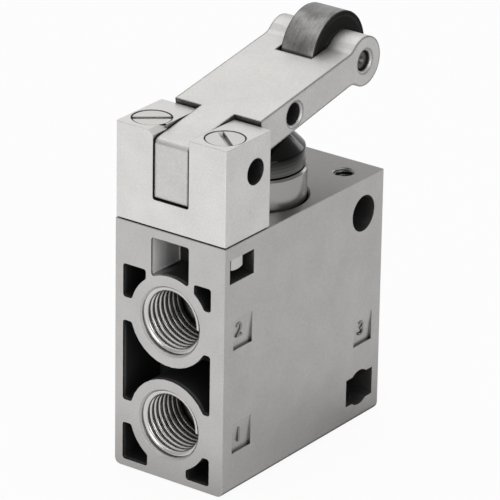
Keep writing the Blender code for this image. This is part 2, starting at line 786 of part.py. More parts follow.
def build_housing(parts, cutters):
    """Build the die-cast housing with its ports, pockets, bores and holes."""
    housing = add_box("valve_housing", (-SIDE_X, FRONT_Y, 0), (SIDE_X, BACK_Y, BODY_HEIGHT))
    low = -BODY_HEIGHT / 2 + 1e-6
    back = BODY_DEPTH / 2 - 1e-6

    def outer_edge(middle, direction):
        lower_side = middle.z < low and abs(direction.y) > 0.9
        rear = middle.y > back
        return lower_side or rear

    round_edges(housing, BODY_EDGE_RADIUS, outer_edge)
    bore = add_turned("main_bore", main_bore_profile())
    combine(housing, bore, cutters)
    cut_port(housing, cutters, "outlet_port", FRONT_Y, OUTLET_PORT_HEIGHT)
    cut_port(housing, cutters, "supply_port", FRONT_Y, SUPPLY_PORT_HEIGHT)
    cut_port(housing, cutters, "exhaust_port", BACK_Y, EXHAUST_PORT_HEIGHT)
    cut_passages(housing, cutters)
    cut_front_pockets(housing, cutters)
    cut_fastener_seats(housing, cutters)
    cut_mounting_holes(housing, cutters)
    cut_label_recesses(housing, cutters)
    finish_nickel(housing, parts)


def bracket_slot():
    """Return the slot's outline, open at the top, with rounded floor corners."""
    half = SLOT_WIDTH / 2
    floor = BODY_HEIGHT + SLOT_FLOOR
    top = BODY_HEIGHT + BRACKET_HEIGHT + CUT_MARGIN
    left = Edge((-half, top), (-half, floor))
    base = Edge((-half, floor), (half, floor))
    right = Edge((half, floor), (half, top))
    points = fillet(left, base, (-half, floor), SLOT_FILLET)
    points += fillet(base, right, (half, floor), SLOT_FILLET)
    return points + [Vector((half, top)), Vector((-half, top))]


def build_bracket(parts, cutters):
    """Build the slotted lever bracket on top of the housing."""
    top = BODY_HEIGHT + BRACKET_HEIGHT
    bracket = add_box("lever_bracket", (-SIDE_X, FRONT_Y, BODY_HEIGHT + SEAT_GAP),
                      (SIDE_X, FRONT_Y + BRACKET_DEPTH, top))
    round_edges(bracket, BRACKET_EDGE, lambda middle, direction: abs(direction.z) > 0.9, 2)
    slot = add_outline("lever_slot", bracket_slot(), 3 * BRACKET_DEPTH, "XZ", FRONT_Y)
    combine(bracket, slot, cutters)
    reach = SIDE_X + CUT_MARGIN
    bore = add_rod("pivot_bore", PIVOT_PIN_RADIUS + PIN_GAP, (-reach, PIVOT_Y, PIVOT_Z),
                   (reach, PIVOT_Y, PIVOT_Z), ROUND_STEPS)
    combine(bracket, bore, cutters)
    hole = SCREW_RADIUS + SCREW_CLEARANCE
    mouth = SCREW_HEAD_RADIUS + PIN_GAP
    rim = -0.25 * MM
    profile = [
        (0.0, CUT_MARGIN),
        (mouth, CUT_MARGIN),
        (mouth, rim),
        (hole, rim - mouth + hole),
        (hole, -BRACKET_HEIGHT - CUT_MARGIN),
        (0.0, -BRACKET_HEIGHT - CUT_MARGIN),
    ]
    for side, word in ((-1, "left"), (1, "right")):
        cutter = add_turned(f"countersink_{word}", profile, location=(side * SCREW_X, SCREW_Y, top))
        combine(bracket, cutter, cutters)
    half = SLOT_WIDTH / 2
    relief = [(-half - SLOT_RELIEF, top + SLOT_RELIEF), (-half - SLOT_RELIEF, top),
              (-half + SLOT_RELIEF, top - 2 * SLOT_RELIEF), (-half + SLOT_RELIEF, top + SLOT_RELIEF)]
    length = SCREW_SETBACK - SLOT_RELIEF
    cutter = add_outline("slot_relief", relief, length + CUT_MARGIN, "XZ",
                         FRONT_Y + (length - CUT_MARGIN) / 2)
    combine(bracket, cutter, cutters)
    finish_nickel(bracket, parts)


def build_screws(parts, cutters):
    """Build the two slotted countersunk screws that hold the bracket."""
    head = SCREW_HEAD_RADIUS
    length = SCREW_TOP - NUT_TOP + NUT_HEIGHT + SCREW_POINT
    profile = [
        (0.0, 0.0),
        (head, 0.0),
        (SCREW_RADIUS, SCREW_RADIUS - head),
        (SCREW_RADIUS, SCREW_POINT / 2 - length),
        (SCREW_RADIUS - SCREW_POINT / 2, -length),
        (0.0, -length),
    ]
    for side, word in ((-1, "left"), (1, "right")):
        screw = add_turned(f"bracket_screw_{word}", profile, location=(side * SCREW_X, SCREW_Y, SCREW_TOP))
        reach = head + CUT_MARGIN
        slot = add_box(f"driver_slot_{word}", (-reach, -SCREW_SLOT_WIDTH / 2, -SCREW_SLOT_DEPTH),
                       (reach, SCREW_SLOT_WIDTH / 2, CUT_MARGIN))
        slot.location += screw.location
        slot.rotation_euler.z = -side * SCREW_SLOT_TURN
        combine(screw, slot, cutters)
        finish_steel(screw, parts)


def build_nuts(parts, cutters):
    """Build the two chamfered hexagon nuts, with corners to the front and rear."""
    corner = NUT_WIDTH / math.sqrt(3)
    tip = corner + CUT_MARGIN
    fall = (tip - NUT_WIDTH / 2) * math.tan(NUT_CHAMFER_ANGLE)
    shape = [
        (0.0, NUT_HEIGHT),
        (NUT_WIDTH / 2, NUT_HEIGHT),
        (tip, NUT_HEIGHT - fall),
        (tip, fall),
        (NUT_WIDTH / 2, 0.0),
        (0.0, 0.0),
    ]
    for side, word in ((-1, "left"), (1, "right")):
        base = Vector((side * SCREW_X, SCREW_Y, NUT_TOP - NUT_HEIGHT))
        nut = add_rod(f"bracket_nut_{word}", corner, base, base + Vector((0, 0, NUT_HEIGHT)), 6)
        chamfer = add_turned(f"nut_chamfer_{word}", shape, location=base)
        combine(nut, chamfer, cutters, "INTERSECT")
        bore = add_rod(f"nut_bore_{word}", SCREW_RADIUS + SEAL_GAP, base - Vector((0, 0, CUT_MARGIN)),
                       base + Vector((0, 0, NUT_HEIGHT + CUT_MARGIN)))
        combine(nut, bore, cutters)
        finish_steel(nut, parts)


def bar_top(along):
    """Return the height of the lever bar's tapered top edge."""
    return BAR_TOP - BAR_TAPER * along


def bar_bottom(along):
    """Return the height of the lever bar's tapered bottom edge."""
    return BAR_BOTTOM + BAR_TAPER * along


def to_lever(y, z):
    """Turn a point given from the pivot in the bracket's frame into the lever's frame."""
    cos = math.cos(LEVER_TILT)
    sin = math.sin(LEVER_TILT)
    return Vector((cos * y + sin * z, cos * z - sin * y))


def lever_outline():
    """Return the side outline of the lever: tongue, heel, tapered bar and round ear."""
    front = TONGUE_SETBACK - PIVOT_SETBACK
    floor = SLOT_FLOOR + SEAT_GAP - PIVOT_HEIGHT
    ear = Round((ROLLER_REACH, ROLLER_LIFT), EAR_RADIUS)
    ear_tip = (ROLLER_REACH + EAR_RADIUS, ROLLER_LIFT)
    neck = ROLLER_REACH - EAR_RADIUS
    bottom = Edge((neck, bar_bottom(neck)), (0.0, bar_bottom(0.0)))
    top = Edge((0.0, bar_top(0.0)), (neck, bar_top(neck)))
    lower = fillet(bottom, ear, (neck, bar_bottom(neck)), EAR_FILLET)
    upper = fillet(ear, top, (neck, bar_top(neck)), EAR_FILLET)
    heel_start = to_lever(0.0, floor)
    heel_radius = heel_start.length
    heel_end = meeting_point(bottom, Round((0.0, 0.0), heel_radius), (heel_radius, 0.0))
    top_forward = Edge((0.0, bar_top(0.0)), (-neck, bar_top(-neck)))
    face = Edge(to_lever(front, 0.0), to_lever(front, floor))
    base = Edge(to_lever(front, floor), heel_start)
    nose = to_lever(front, BAR_TOP)
    toe = to_lever(front, floor)
    points = arc((0.0, 0.0), heel_start, heel_end, 2 * ARC_STEPS)
    points += lower
    points += arc(ear.center, lower[-1], ear_tip, 3 * ARC_STEPS)[1:]
    points += arc(ear.center, ear_tip, upper[0], 3 * ARC_STEPS)[1:-1]
    points += upper
    points += fillet(top_forward, face, nose, TONGUE_RADIUS)
    points += fillet(face, base, toe, TONGUE_TOE_RADIUS)
    return points


def cut_cross_bore(lever, cutters, pivot, name, radius, place):
    """Bore the lever from side to side, with a chamfer at each mouth."""
    half = LEVER_WIDTH / 2
    mouth = radius + CROSS_BORE_CHAMFER
    profile = [
        (0.0, half + CUT_MARGIN),
        (mouth + CUT_MARGIN, half + CUT_MARGIN),
        (radius, half - CROSS_BORE_CHAMFER),
        (radius, CROSS_BORE_CHAMFER - half),
        (mouth + CUT_MARGIN, -half - CUT_MARGIN),
        (0.0, -half - CUT_MARGIN),
    ]
    cutter = add_turned(name, profile, location=(0, *place), axis=(1, 0, 0), parent=pivot)
    combine(lever, cutter, cutters)


def build_lever(parts, cutters, pivot):
    """Build the cast lever in its own frame, with the pivot at its origin."""
    half = LEVER_WIDTH / 2
    reach = half + CUT_MARGIN
    lever = add_outline("roller_lever", lever_outline(), LEVER_WIDTH, "YZ", parent=pivot)
    for side, word in ((-1, "left"), (1, "right")):
        ends = sorted((side * TONGUE_WIDTH / 2, side * reach))
        shoulder = add_box(f"tongue_side_{word}", (ends[0], -2 * PIVOT_SETBACK, -2 * PIVOT_HEIGHT),
                           (ends[1], BAR_START, 2 * PIVOT_HEIGHT), parent=pivot)
        combine(lever, shoulder, cutters)
    fork_floor = ROLLER_REACH - ROLLER_RADIUS - FORK_CLEARANCE
    fork_end = ROLLER_REACH + EAR_RADIUS + CUT_MARGIN
    fork = add_box("roller_fork", (-FORK_WIDTH / 2, fork_floor, ROLLER_LIFT - 2 * EAR_RADIUS),
                   (FORK_WIDTH / 2, fork_end, ROLLER_LIFT + 2 * EAR_RADIUS), parent=pivot)
    combine(lever, fork, cutters)
    half_length = PRESS_POCKET_LENGTH / 2
    pocket = add_box(
        "press_pocket",
        (-PRESS_POCKET_WIDTH / 2, PRESS_PIN_REACH - half_length, BAR_BOTTOM - CUT_MARGIN),
        (PRESS_POCKET_WIDTH / 2, PRESS_PIN_REACH + half_length, PRESS_POCKET_TOP), parent=pivot)
    combine(lever, pocket, cutters)
    bore = add_rod("tongue_bore", PIVOT_PIN_RADIUS + PIN_GAP, (-half, 0, 0), (half, 0, 0), ROUND_STEPS,
                   parent=pivot)
    combine(lever, bore, cutters)
    cut_cross_bore(lever, cutters, pivot, "press_pin_bore", PRESS_PIN_RADIUS + PIN_GAP,
                   (PRESS_PIN_REACH, PRESS_PIN_LIFT))
    cut_cross_bore(lever, cutters, pivot, "roller_pin_bore", ROLLER_PIN_RADIUS + PIN_GAP,
                   (ROLLER_REACH, ROLLER_LIFT))
    finish_nickel(lever, parts)


def build_cross_pins(parts, pivot):
    """Build the pivot pin in the bracket and the two pins that ride in the lever."""
    reach = SCREW_X - SCREW_RADIUS - SEAT_GAP
    pin = add_rod("lever_pivot_pin", PIVOT_PIN_RADIUS, (-reach, PIVOT_Y, PIVOT_Z),
                  (reach, PIVOT_Y, PIVOT_Z), ROUND_STEPS)
    finish_steel(pin, parts)
    rides = {
        "lever_press_pin": (PRESS_PIN_RADIUS, PRESS_PIN_RECESS, PRESS_PIN_REACH, PRESS_PIN_LIFT),
        "roller_pin": (ROLLER_PIN_RADIUS, ROLLER_PIN_RECESS, ROLLER_REACH, ROLLER_LIFT),
    }
    for name, (radius, recess, along, lift) in rides.items():
        reach = LEVER_WIDTH / 2 - recess
        pin = add_rod(name, radius, (-reach, along, lift), (reach, along, lift), ROUND_STEPS, parent=pivot)
        finish_steel(pin, parts)


def build_roller(parts, pivot):
    """Build the roller and the bush in its bore, centred on the roller pin."""
    half = FORK_WIDTH / 2 - ROLLER_SIDE_GAP
    place = (0, ROLLER_REACH, ROLLER_LIFT)
    bore = ROLLER_BUSH_RADIUS + SEAL_GAP
    rim = ROLLER_RADIUS - ROLLER_EDGE
    profile = [
        (bore, half),
        (rim, half),
        (ROLLER_RADIUS, half - ROLLER_EDGE),
        (ROLLER_RADIUS, ROLLER_EDGE - half),
        (rim, -half),
        (bore, -half),
    ]
    roller = add_turned("roller", profile, ROLLER_STEPS, closed=True, location=place, axis=(1, 0, 0),
                        parent=pivot)
    finish(roller, parts, (0.05, 0.05, 0.052), 0.6, 0.42)
    section = ring_profile(ROLLER_PIN_RADIUS + PIN_GAP, ROLLER_BUSH_RADIUS, -half, half)
    bush = add_turned("roller_bushing", section, INNER_STEPS, closed=True, location=place, axis=(1, 0, 0),
                      parent=pivot)
    finish_brass(bush, parts)


def build_sleeve(parts):
    """Build the plunger's bright sleeve with its web, hub and wiper groove."""
    top = BODY_HEIGHT + SLEEVE_RISE
    socket = BODY_HEIGHT + CAP_SPIGOT_BOTTOM - SEAT_GAP
    web = BODY_HEIGHT + SLEEVE_WEB_BOTTOM
    hub = BODY_HEIGHT - SLEEVE_HUB_DROP
    skirt = BODY_HEIGHT - SLEEVE_SKIRT_DROP
    groove_top = BODY_HEIGHT - WIPER_DROP
    groove_bottom = groove_top - WIPER_HEIGHT - 2 * PIN_GAP
    groove = PLUNGER_RADIUS - WIPER_DEPTH
    bore = STEM_RADIUS + SEAL_GAP
    profile = [
        (CAP_SPIGOT_RADIUS + SEAL_GAP, top),
        (PLUNGER_RADIUS - SLEEVE_CHAMFER, top),
        (PLUNGER_RADIUS, top - SLEEVE_CHAMFER),
        (PLUNGER_RADIUS, groove_top),
        (groove, groove_top),
        (groove, groove_bottom),
        (PLUNGER_RADIUS, groove_bottom),
        (PLUNGER_RADIUS, skirt),
        (PLUNGER_RADIUS - SLEEVE_WALL, skirt),
        (PLUNGER_RADIUS - SLEEVE_WALL, web),
        (SLEEVE_HUB_RADIUS, web),
        (SLEEVE_HUB_RADIUS, hub),
        (bore, hub),
        (bore, socket),
        (CAP_SPIGOT_RADIUS + SEAL_GAP, socket),
    ]
    finish(add_turned("plunger_sleeve", profile, PLUNGER_STEPS, closed=True), parts,
           (0.74, 0.73, 0.71), 1.0, 0.16)


def build_wiper(parts):
    """Build the wiper ring in the sleeve's groove."""
    top = BODY_HEIGHT - WIPER_DROP - PIN_GAP
    section = ring_profile(PLUNGER_RADIUS - WIPER_DEPTH + PIN_GAP, PLUNGER_RADIUS + PIN_GAP,
                           top - WIPER_HEIGHT, top)
    finish_rubber(add_turned("plunger_wiper", section, PLUNGER_STEPS, closed=True), parts)


def build_cap(parts):
    """Build the plunger's dark conical cap, whose domed tip meets the press pin."""
    pin = Vector((PRESS_PIN_REACH, PRESS_PIN_LIFT))
    pin_height = PIVOT_Z + math.sin(LEVER_TILT) * pin.x + math.cos(LEVER_TILT) * pin.y
    top = pin_height - PRESS_PIN_RADIUS - SEAT_GAP
    rim = top - CAP_TIP_RISE
    shoulder = rim - (CAP_RADIUS - CAP_TIP_RADIUS)
    dome_radius = (CAP_TIP_RADIUS ** 2 + CAP_TIP_RISE ** 2) / (2 * CAP_TIP_RISE)
    sweep = math.asin(CAP_TIP_RADIUS / dome_radius)
    dome = []
    for step in range(ARC_STEPS + 1):
        angle = sweep * step / ARC_STEPS
        dome.append((dome_radius * math.sin(angle), top - dome_radius * (1 - math.cos(angle))))
    seat = BODY_HEIGHT + SLEEVE_RISE + SEAT_GAP
    spigot = BODY_HEIGHT + CAP_SPIGOT_BOTTOM
    profile = dome + [
        (CAP_RADIUS, shoulder),
        (CAP_RADIUS, seat),
        (CAP_SPIGOT_RADIUS, seat),
        (CAP_SPIGOT_RADIUS, spigot),
        (0.0, spigot),
    ]
    finish(add_turned("plunger_cap", profile, PLUNGER_STEPS), parts, (0.035, 0.035, 0.037), 0.5, 0.18)


def build_stem(parts, cutters):
    """Build the hollow valve stem, whose bore is the exhaust way."""
    top = BODY_HEIGHT + CAP_SPIGOT_BOTTOM - SEAT_GAP
    cross = (GUIDE_TOP + BUSH_SEAT) / 2
    bore_top = cross + STEM_BORE_RISE
    profile = [
        (0.0, top),
        (STEM_RADIUS, top),
        (STEM_RADIUS, STEM_TIP),
        (STEM_BORE_RADIUS, STEM_TIP),
        (STEM_BORE_RADIUS, bore_top),
        (0.0, bore_top),
    ]
    stem = add_turned("valve_stem", profile, SMALL_STEPS)
    reach = STEM_RADIUS + CUT_MARGIN
    for word, way in (("across", Vector((reach, 0, 0))), ("along", Vector((0, reach, 0)))):
        level = Vector((0, 0, cross))
        combine(stem, add_rod(f"exhaust_hole_{word}", STEM_CROSS_RADIUS, level - way, level + way), cutters)
    finish_steel(stem, parts)


def cut_skirt_windows(piece, cutters, radius, low, high):
    """Open a skirt's four sides with two crossed slots."""
    reach = radius + CUT_MARGIN
    half = SKIRT_WINDOW_WIDTH / 2
    for word, x, y in (("across", reach, half), ("along", half, reach)):
        combine(piece, add_box(f"{piece.name}_{word}", (-x, -y, low), (x, y, high)), cutters)


def seal_groove(middle):
    """Return the stem seal's groove in a guide's bore, from bottom to top."""
    bore = STEM_RADIUS + SEAL_GAP
    half = STEM_SEAL_SECTION + SEAL_GAP
    depth = STEM_RADIUS + PIN_GAP + 2 * STEM_SEAL_SECTION + SEAL_GAP
    return [(bore, middle - half), (depth, middle - half), (depth, middle + half), (bore, middle + half)]


def build_guide_bush(parts, cutters):
    """Build the upper stem guide: a grooved flange with a windowed skirt."""
    flange = BUSH_BORE_RADIUS - GUIDE_FIT
    outer = EXHAUST_BORE_RADIUS - GUIDE_FIT
    inner = outer - SKIRT_WALL
    foot = GUIDE_TOP + SEAT_GAP
    profile = [
        (STEM_RADIUS + SEAL_GAP, BUSH_TOP),
        (flange, BUSH_TOP),
        (flange, BUSH_BOTTOM),
        (outer, BUSH_BOTTOM),
        (outer, foot),
        (inner, foot),
        (inner, BUSH_BOTTOM),
        (STEM_RADIUS + SEAL_GAP, BUSH_BOTTOM),
    ] + seal_groove((BUSH_TOP + BUSH_BOTTOM) / 2)
    bush = add_turned("guide_bush", profile, INNER_STEPS, closed=True)
    cut_skirt_windows(bush, cutters, outer, foot + SKIRT_RING_HEIGHT, BUSH_BOTTOM - SEAT_GAP)
    finish_brass(bush, parts)


def body_seal_groove(bore, middle):
    """Return the groove outside a piece for the ring that seals it to a bore, from top to bottom."""
    outer = bore - GUIDE_FIT
    half = BODY_SEAL_SECTION + SEAL_GAP
    depth = bore - PIN_GAP - 2 * BODY_SEAL_SECTION - SEAL_GAP
    return [(outer, middle + half), (depth, middle + half), (depth, middle - half), (outer, middle - half)]


def build_stem_guide(parts, cutters):
    """Build the lower stem guide, which parts exhaust from outlet and bears on the seat."""
    outer = EXHAUST_BORE_RADIUS - GUIDE_FIT
    skirt = OUTLET_BORE_RADIUS - GUIDE_FIT
    inner = skirt - SKIRT_WALL
    foot = SEAT_TOP + SEAT_GAP
    middle = (GUIDE_TOP + GUIDE_BOTTOM) / 2
    profile = [(STEM_RADIUS + SEAL_GAP, GUIDE_TOP), (outer, GUIDE_TOP)]
    profile += body_seal_groove(EXHAUST_BORE_RADIUS, middle)
    profile += [
        (outer, GUIDE_BOTTOM),
        (skirt, GUIDE_BOTTOM),
        (skirt, foot),
        (inner, foot),
        (inner, GUIDE_BOTTOM),
        (STEM_RADIUS + SEAL_GAP, GUIDE_BOTTOM),
    ]
    guide = add_turned("stem_guide", profile + seal_groove(middle), INNER_STEPS, closed=True)
    cut_skirt_windows(guide, cutters, skirt, foot + SKIRT_RING_HEIGHT, GUIDE_BOTTOM - SEAT_GAP)
    finish_brass(guide, parts)


def build_seat(parts):
    """Build the valve seat with its lip and the groove for its seal."""
    outer = OUTLET_BORE_RADIUS - GUIDE_FIT
    profile = [(SEAT_BORE_RADIUS, SEAT_TOP), (outer, SEAT_TOP)]
    profile += body_seal_groove(OUTLET_BORE_RADIUS, (SEAT_TOP + SEAT_BOTTOM) / 2)
    profile += [
        (outer, SEAT_BOTTOM),
        (SEAT_BORE_RADIUS + SEAT_LIP_WIDTH, SEAT_BOTTOM),
        (SEAT_BORE_RADIUS + SEAT_LIP_WIDTH / 2, SEAT_LIP),
        (SEAT_BORE_RADIUS, SEAT_LIP),
    ]
    finish_brass(add_turned("seat_insert", profile, INNER_STEPS, closed=True), parts)


def build_seals(parts):
    """Build the O-rings on the stem, round the stem guide and round the seat."""
    middle = (GUIDE_TOP + GUIDE_BOTTOM) / 2
    stem_ring = STEM_RADIUS + PIN_GAP + STEM_SEAL_SECTION
    rings = {
        "stem_o_ring_upper": (STEM_SEAL_SECTION, stem_ring, (BUSH_TOP + BUSH_BOTTOM) / 2),
        "stem_o_ring_lower": (STEM_SEAL_SECTION, stem_ring, middle),
        "guide_o_ring": (BODY_SEAL_SECTION, EXHAUST_BORE_RADIUS - PIN_GAP - BODY_SEAL_SECTION, middle),
        "seat_o_ring": (
            BODY_SEAL_SECTION, OUTLET_BORE_RADIUS - PIN_GAP - BODY_SEAL_SECTION,
            (SEAT_TOP + SEAT_BOTTOM) / 2),
    }
    for name, (section, radius, height) in rings.items():
        finish_rubber(add_ring(name, section, radius, (0, 0, height)), parts)


def build_retaining_ring(parts, cutters):
    """Build the open spring ring that keeps the inner stack in the bore."""
    bottom = BUSH_TOP + SEAT_GAP
    section = ring_profile(RING_RADIUS - RING_WIDTH, RING_RADIUS, bottom, bottom + RING_THICKNESS)
    ring = add_turned("retaining_ring", section, INNER_STEPS, closed=True)
    gap = add_box("ring_opening", (-RING_OPENING / 2, -RING_RADIUS - CUT_MARGIN, bottom - CUT_MARGIN),
                  (RING_OPENING / 2, 0, bottom + RING_THICKNESS + CUT_MARGIN))
    combine(ring, gap, cutters)
    finish_steel(ring, parts)


def build_poppet(parts):
    """Build the poppet cup with its spring spigot, and the seal disc in it."""
    seal_bottom = POPPET_SEAL_TOP - POPPET_SEAL_HEIGHT
    recess = POPPET_SEAL_RADIUS + SEAL_GAP
    spigot = POPPET_BOTTOM - POPPET_SPIGOT_LENGTH
    profile = [
        (0.0, seal_bottom - SEAT_GAP),
        (recess, seal_bottom - SEAT_GAP),
        (recess, POPPET_TOP),
        (POPPET_RADIUS, POPPET_TOP),
        (POPPET_RADIUS, POPPET_BOTTOM),
        (POPPET_SPIGOT_RADIUS, POPPET_BOTTOM),
        (POPPET_SPIGOT_RADIUS, spigot),
        (0.0, spigot),
    ]
    finish_brass(add_turned("poppet", profile, INNER_STEPS), parts)
    seal = add_rod("poppet_seal", POPPET_SEAL_RADIUS, (0, 0, seal_bottom), (0, 0, POPPET_SEAL_TOP),
                   INNER_STEPS)
    finish_rubber(seal, parts)


def build_springs(parts):
    """Build the plunger's return spring and the poppet's spring."""
    finish_steel(add_coil("plunger_spring", PLUNGER_SPRING_RADIUS, PLUNGER_SPRING_WIRE,
                          BUSH_TOP + SEAT_GAP, BODY_HEIGHT + SLEEVE_WEB_BOTTOM - SEAT_GAP,
                          PLUNGER_SPRING_TURNS), parts)
    finish_steel(add_coil("poppet_spring", POPPET_SPRING_RADIUS, POPPET_SPRING_WIRE,
                          BORE_FLOOR + SEAT_GAP, POPPET_BOTTOM - SEAT_GAP, POPPET_SPRING_TURNS), parts)


def add_lever_pivot():
    """Add the empty that carries the lever's frame at its pivot."""
    pivot = bpy.data.objects.new("lever_pivot", None)
    bpy.context.scene.collection.objects.link(pivot)
    pivot.location = (0, PIVOT_Y, PIVOT_Z)
    pivot.rotation_euler.x = LEVER_TILT
    return pivot


def main():
    """Build the valve."""
    clear_scene()
    parts = new_collection("roller_lever_air_valve")
    cutters = new_collection("cutters")
    build_housing(parts, cutters)
    build_bracket(parts, cutters)
    build_screws(parts, cutters)
    build_nuts(parts, cutters)
    pivot = add_lever_pivot()
    build_lever(parts, cutters, pivot)
    build_cross_pins(parts, pivot)
    build_roller(parts, pivot)
    build_sleeve(parts)
    build_wiper(parts)
    build_cap(parts)
    build_stem(parts, cutters)
    build_guide_bush(parts, cutters)
    build_stem_guide(parts, cutters)
    build_seat(parts)
    build_seals(parts)
    build_retaining_ring(parts, cutters)
    build_poppet(parts)
    build_springs(parts)


main()
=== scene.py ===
"""Looks of the roller lever air valve: its finishes, its machined detail and a plain pale studio.

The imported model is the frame. Pieces are modelled over its nodes in metres, in the same frame:
+Z up, front ports towards -Y, origin at the centre of the housing's base.
"""

import json
import logging
import math
from dataclasses import dataclass, field
from enum import Enum
from typing import Any, Sequence, Union

import bpy
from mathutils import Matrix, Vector


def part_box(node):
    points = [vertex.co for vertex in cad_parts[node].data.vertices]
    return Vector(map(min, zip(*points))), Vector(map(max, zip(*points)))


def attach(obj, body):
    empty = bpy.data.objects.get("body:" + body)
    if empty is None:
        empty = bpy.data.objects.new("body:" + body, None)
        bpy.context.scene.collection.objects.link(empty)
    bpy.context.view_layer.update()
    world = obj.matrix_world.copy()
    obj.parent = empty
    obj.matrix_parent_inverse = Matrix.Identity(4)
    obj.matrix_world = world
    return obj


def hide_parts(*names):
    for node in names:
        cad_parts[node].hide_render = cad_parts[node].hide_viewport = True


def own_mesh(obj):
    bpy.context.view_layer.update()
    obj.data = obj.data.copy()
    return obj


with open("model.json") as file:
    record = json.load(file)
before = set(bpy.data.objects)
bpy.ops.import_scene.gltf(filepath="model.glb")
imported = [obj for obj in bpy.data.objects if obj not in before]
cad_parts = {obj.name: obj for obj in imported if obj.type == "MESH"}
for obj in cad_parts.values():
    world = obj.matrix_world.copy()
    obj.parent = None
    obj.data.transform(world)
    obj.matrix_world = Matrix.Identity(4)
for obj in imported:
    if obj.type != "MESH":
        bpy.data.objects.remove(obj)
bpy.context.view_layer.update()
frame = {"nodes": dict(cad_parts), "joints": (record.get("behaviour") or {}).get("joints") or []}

LOG = logging.getLogger("roller_lever_valve")
MM = 0.001

# Places of the housing that its finish, its threads and its port numbers share
HALF_DEPTH = 25.4 * MM
HOUSING_TOP = 49.8 * MM
OUTLET_HEIGHT = 32.15 * MM
SUPPLY_HEIGHT = 11.3 * MM
EXHAUST_HEIGHT = 19.0 * MM
TAPPED_OFFSET = 7.55 * MM
TAPPED_PLACE = HALF_DEPTH - 6.8 * MM

# Two vertices closer than this are merged
DOUBLES = 1e-7

Colour = tuple[float, float, float]
Point = tuple[float, float, float]
Ring = tuple[float, float]
Limits = tuple[float, float]
Band = tuple[float, float, float, float]


class Body(Enum):
    """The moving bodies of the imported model."""

    HOUSING = "valve_body"
    LEVER = "lever"
    ROLLER = "roller_wheel"
    PLUNGER = "plunger"
    POPPET = "poppet_disc"


class Axis(Enum):
    """The direction that a turned piece's own axis points in, as a rotation from +Z."""

    UP = (0.0, 0.0, 0.0)
    RIGHT = (0.0, math.pi / 2, 0.0)
    FRONT = (math.pi / 2, 0.0, 0.0)
    REAR = (-math.pi / 2, 0.0, 0.0)


# Shader maths


class Value:
    """A shader socket that takes part in Python expressions."""

    def __init__(self, graph: "Graph", socket: bpy.types.NodeSocket) -> None:
        """Wrap a socket of a graph.

        Args:
            graph: The graph that new Math nodes are added to.
            socket: The output socket that carries the value.
        """
        self.graph = graph
        self.socket = socket

    def _math(self, operation: str, *terms: "Number") -> "Value":
        """Add a Math node and return its result."""
        node = self.graph.node("ShaderNodeMath", {"operation": operation}, dict(enumerate(terms)))
        return Value(self.graph, node.outputs[0])

    def __add__(self, other: "Number") -> "Value":
        """Return self + other."""
        return self._math("ADD", self, other)

    __radd__ = __add__

    def __sub__(self, other: "Number") -> "Value":
        """Return self - other."""
        return self._math("SUBTRACT", self, other)

    def __rsub__(self, other: "Number") -> "Value":
        """Return other - self."""
        return self._math("SUBTRACT", other, self)

    def __mul__(self, other: "Number") -> "Value":
        """Return self * other."""
        return self._math("MULTIPLY", self, other)

    __rmul__ = __mul__

    def size(self) -> "Value":
        """Return the value without its sign."""
        return self._math("ABSOLUTE", self)

    def root(self) -> "Value":
        """Return the square root."""
        return self._math("SQRT", self)

    def wave(self) -> "Value":
        """Return the sine, brought into 0 to 1."""
        return self._math("SINE", self) * 0.5 + 0.5

    def most(self, other: "Number") -> "Value":
        """Return the larger of the two."""
        return self._math("MAXIMUM", self, other)

    def least(self, other: "Number") -> "Value":
        """Return the smaller of the two."""
        return self._math("MINIMUM", self, other)

    def step(self, low: float, high: float) -> "Value":
        """Return a soft step.

        Args:
            low: Where the step gives 0.
            high: Where the step gives 1, below low for a falling step.

        Returns:
            The step's value, from 0 to 1.
        """
        node = self.graph.node(
            "ShaderNodeMapRange", {"interpolation_type": "SMOOTHSTEP"},
            {"Value": self, "From Min": min(low, high), "From Max": max(low, high),
             "To Min": float(low > high), "To Max": float(low < high)})
        return Value(self.graph, node.outputs["Result"])

    def band(self, start: float, full: float, fading: float, end: float) -> "Value":
        """Return a mask that is 1 from full to fading, and 0 before start and past end."""
        return self.step(start, full) * self.step(end, fading)


Number = Union[Value, float]


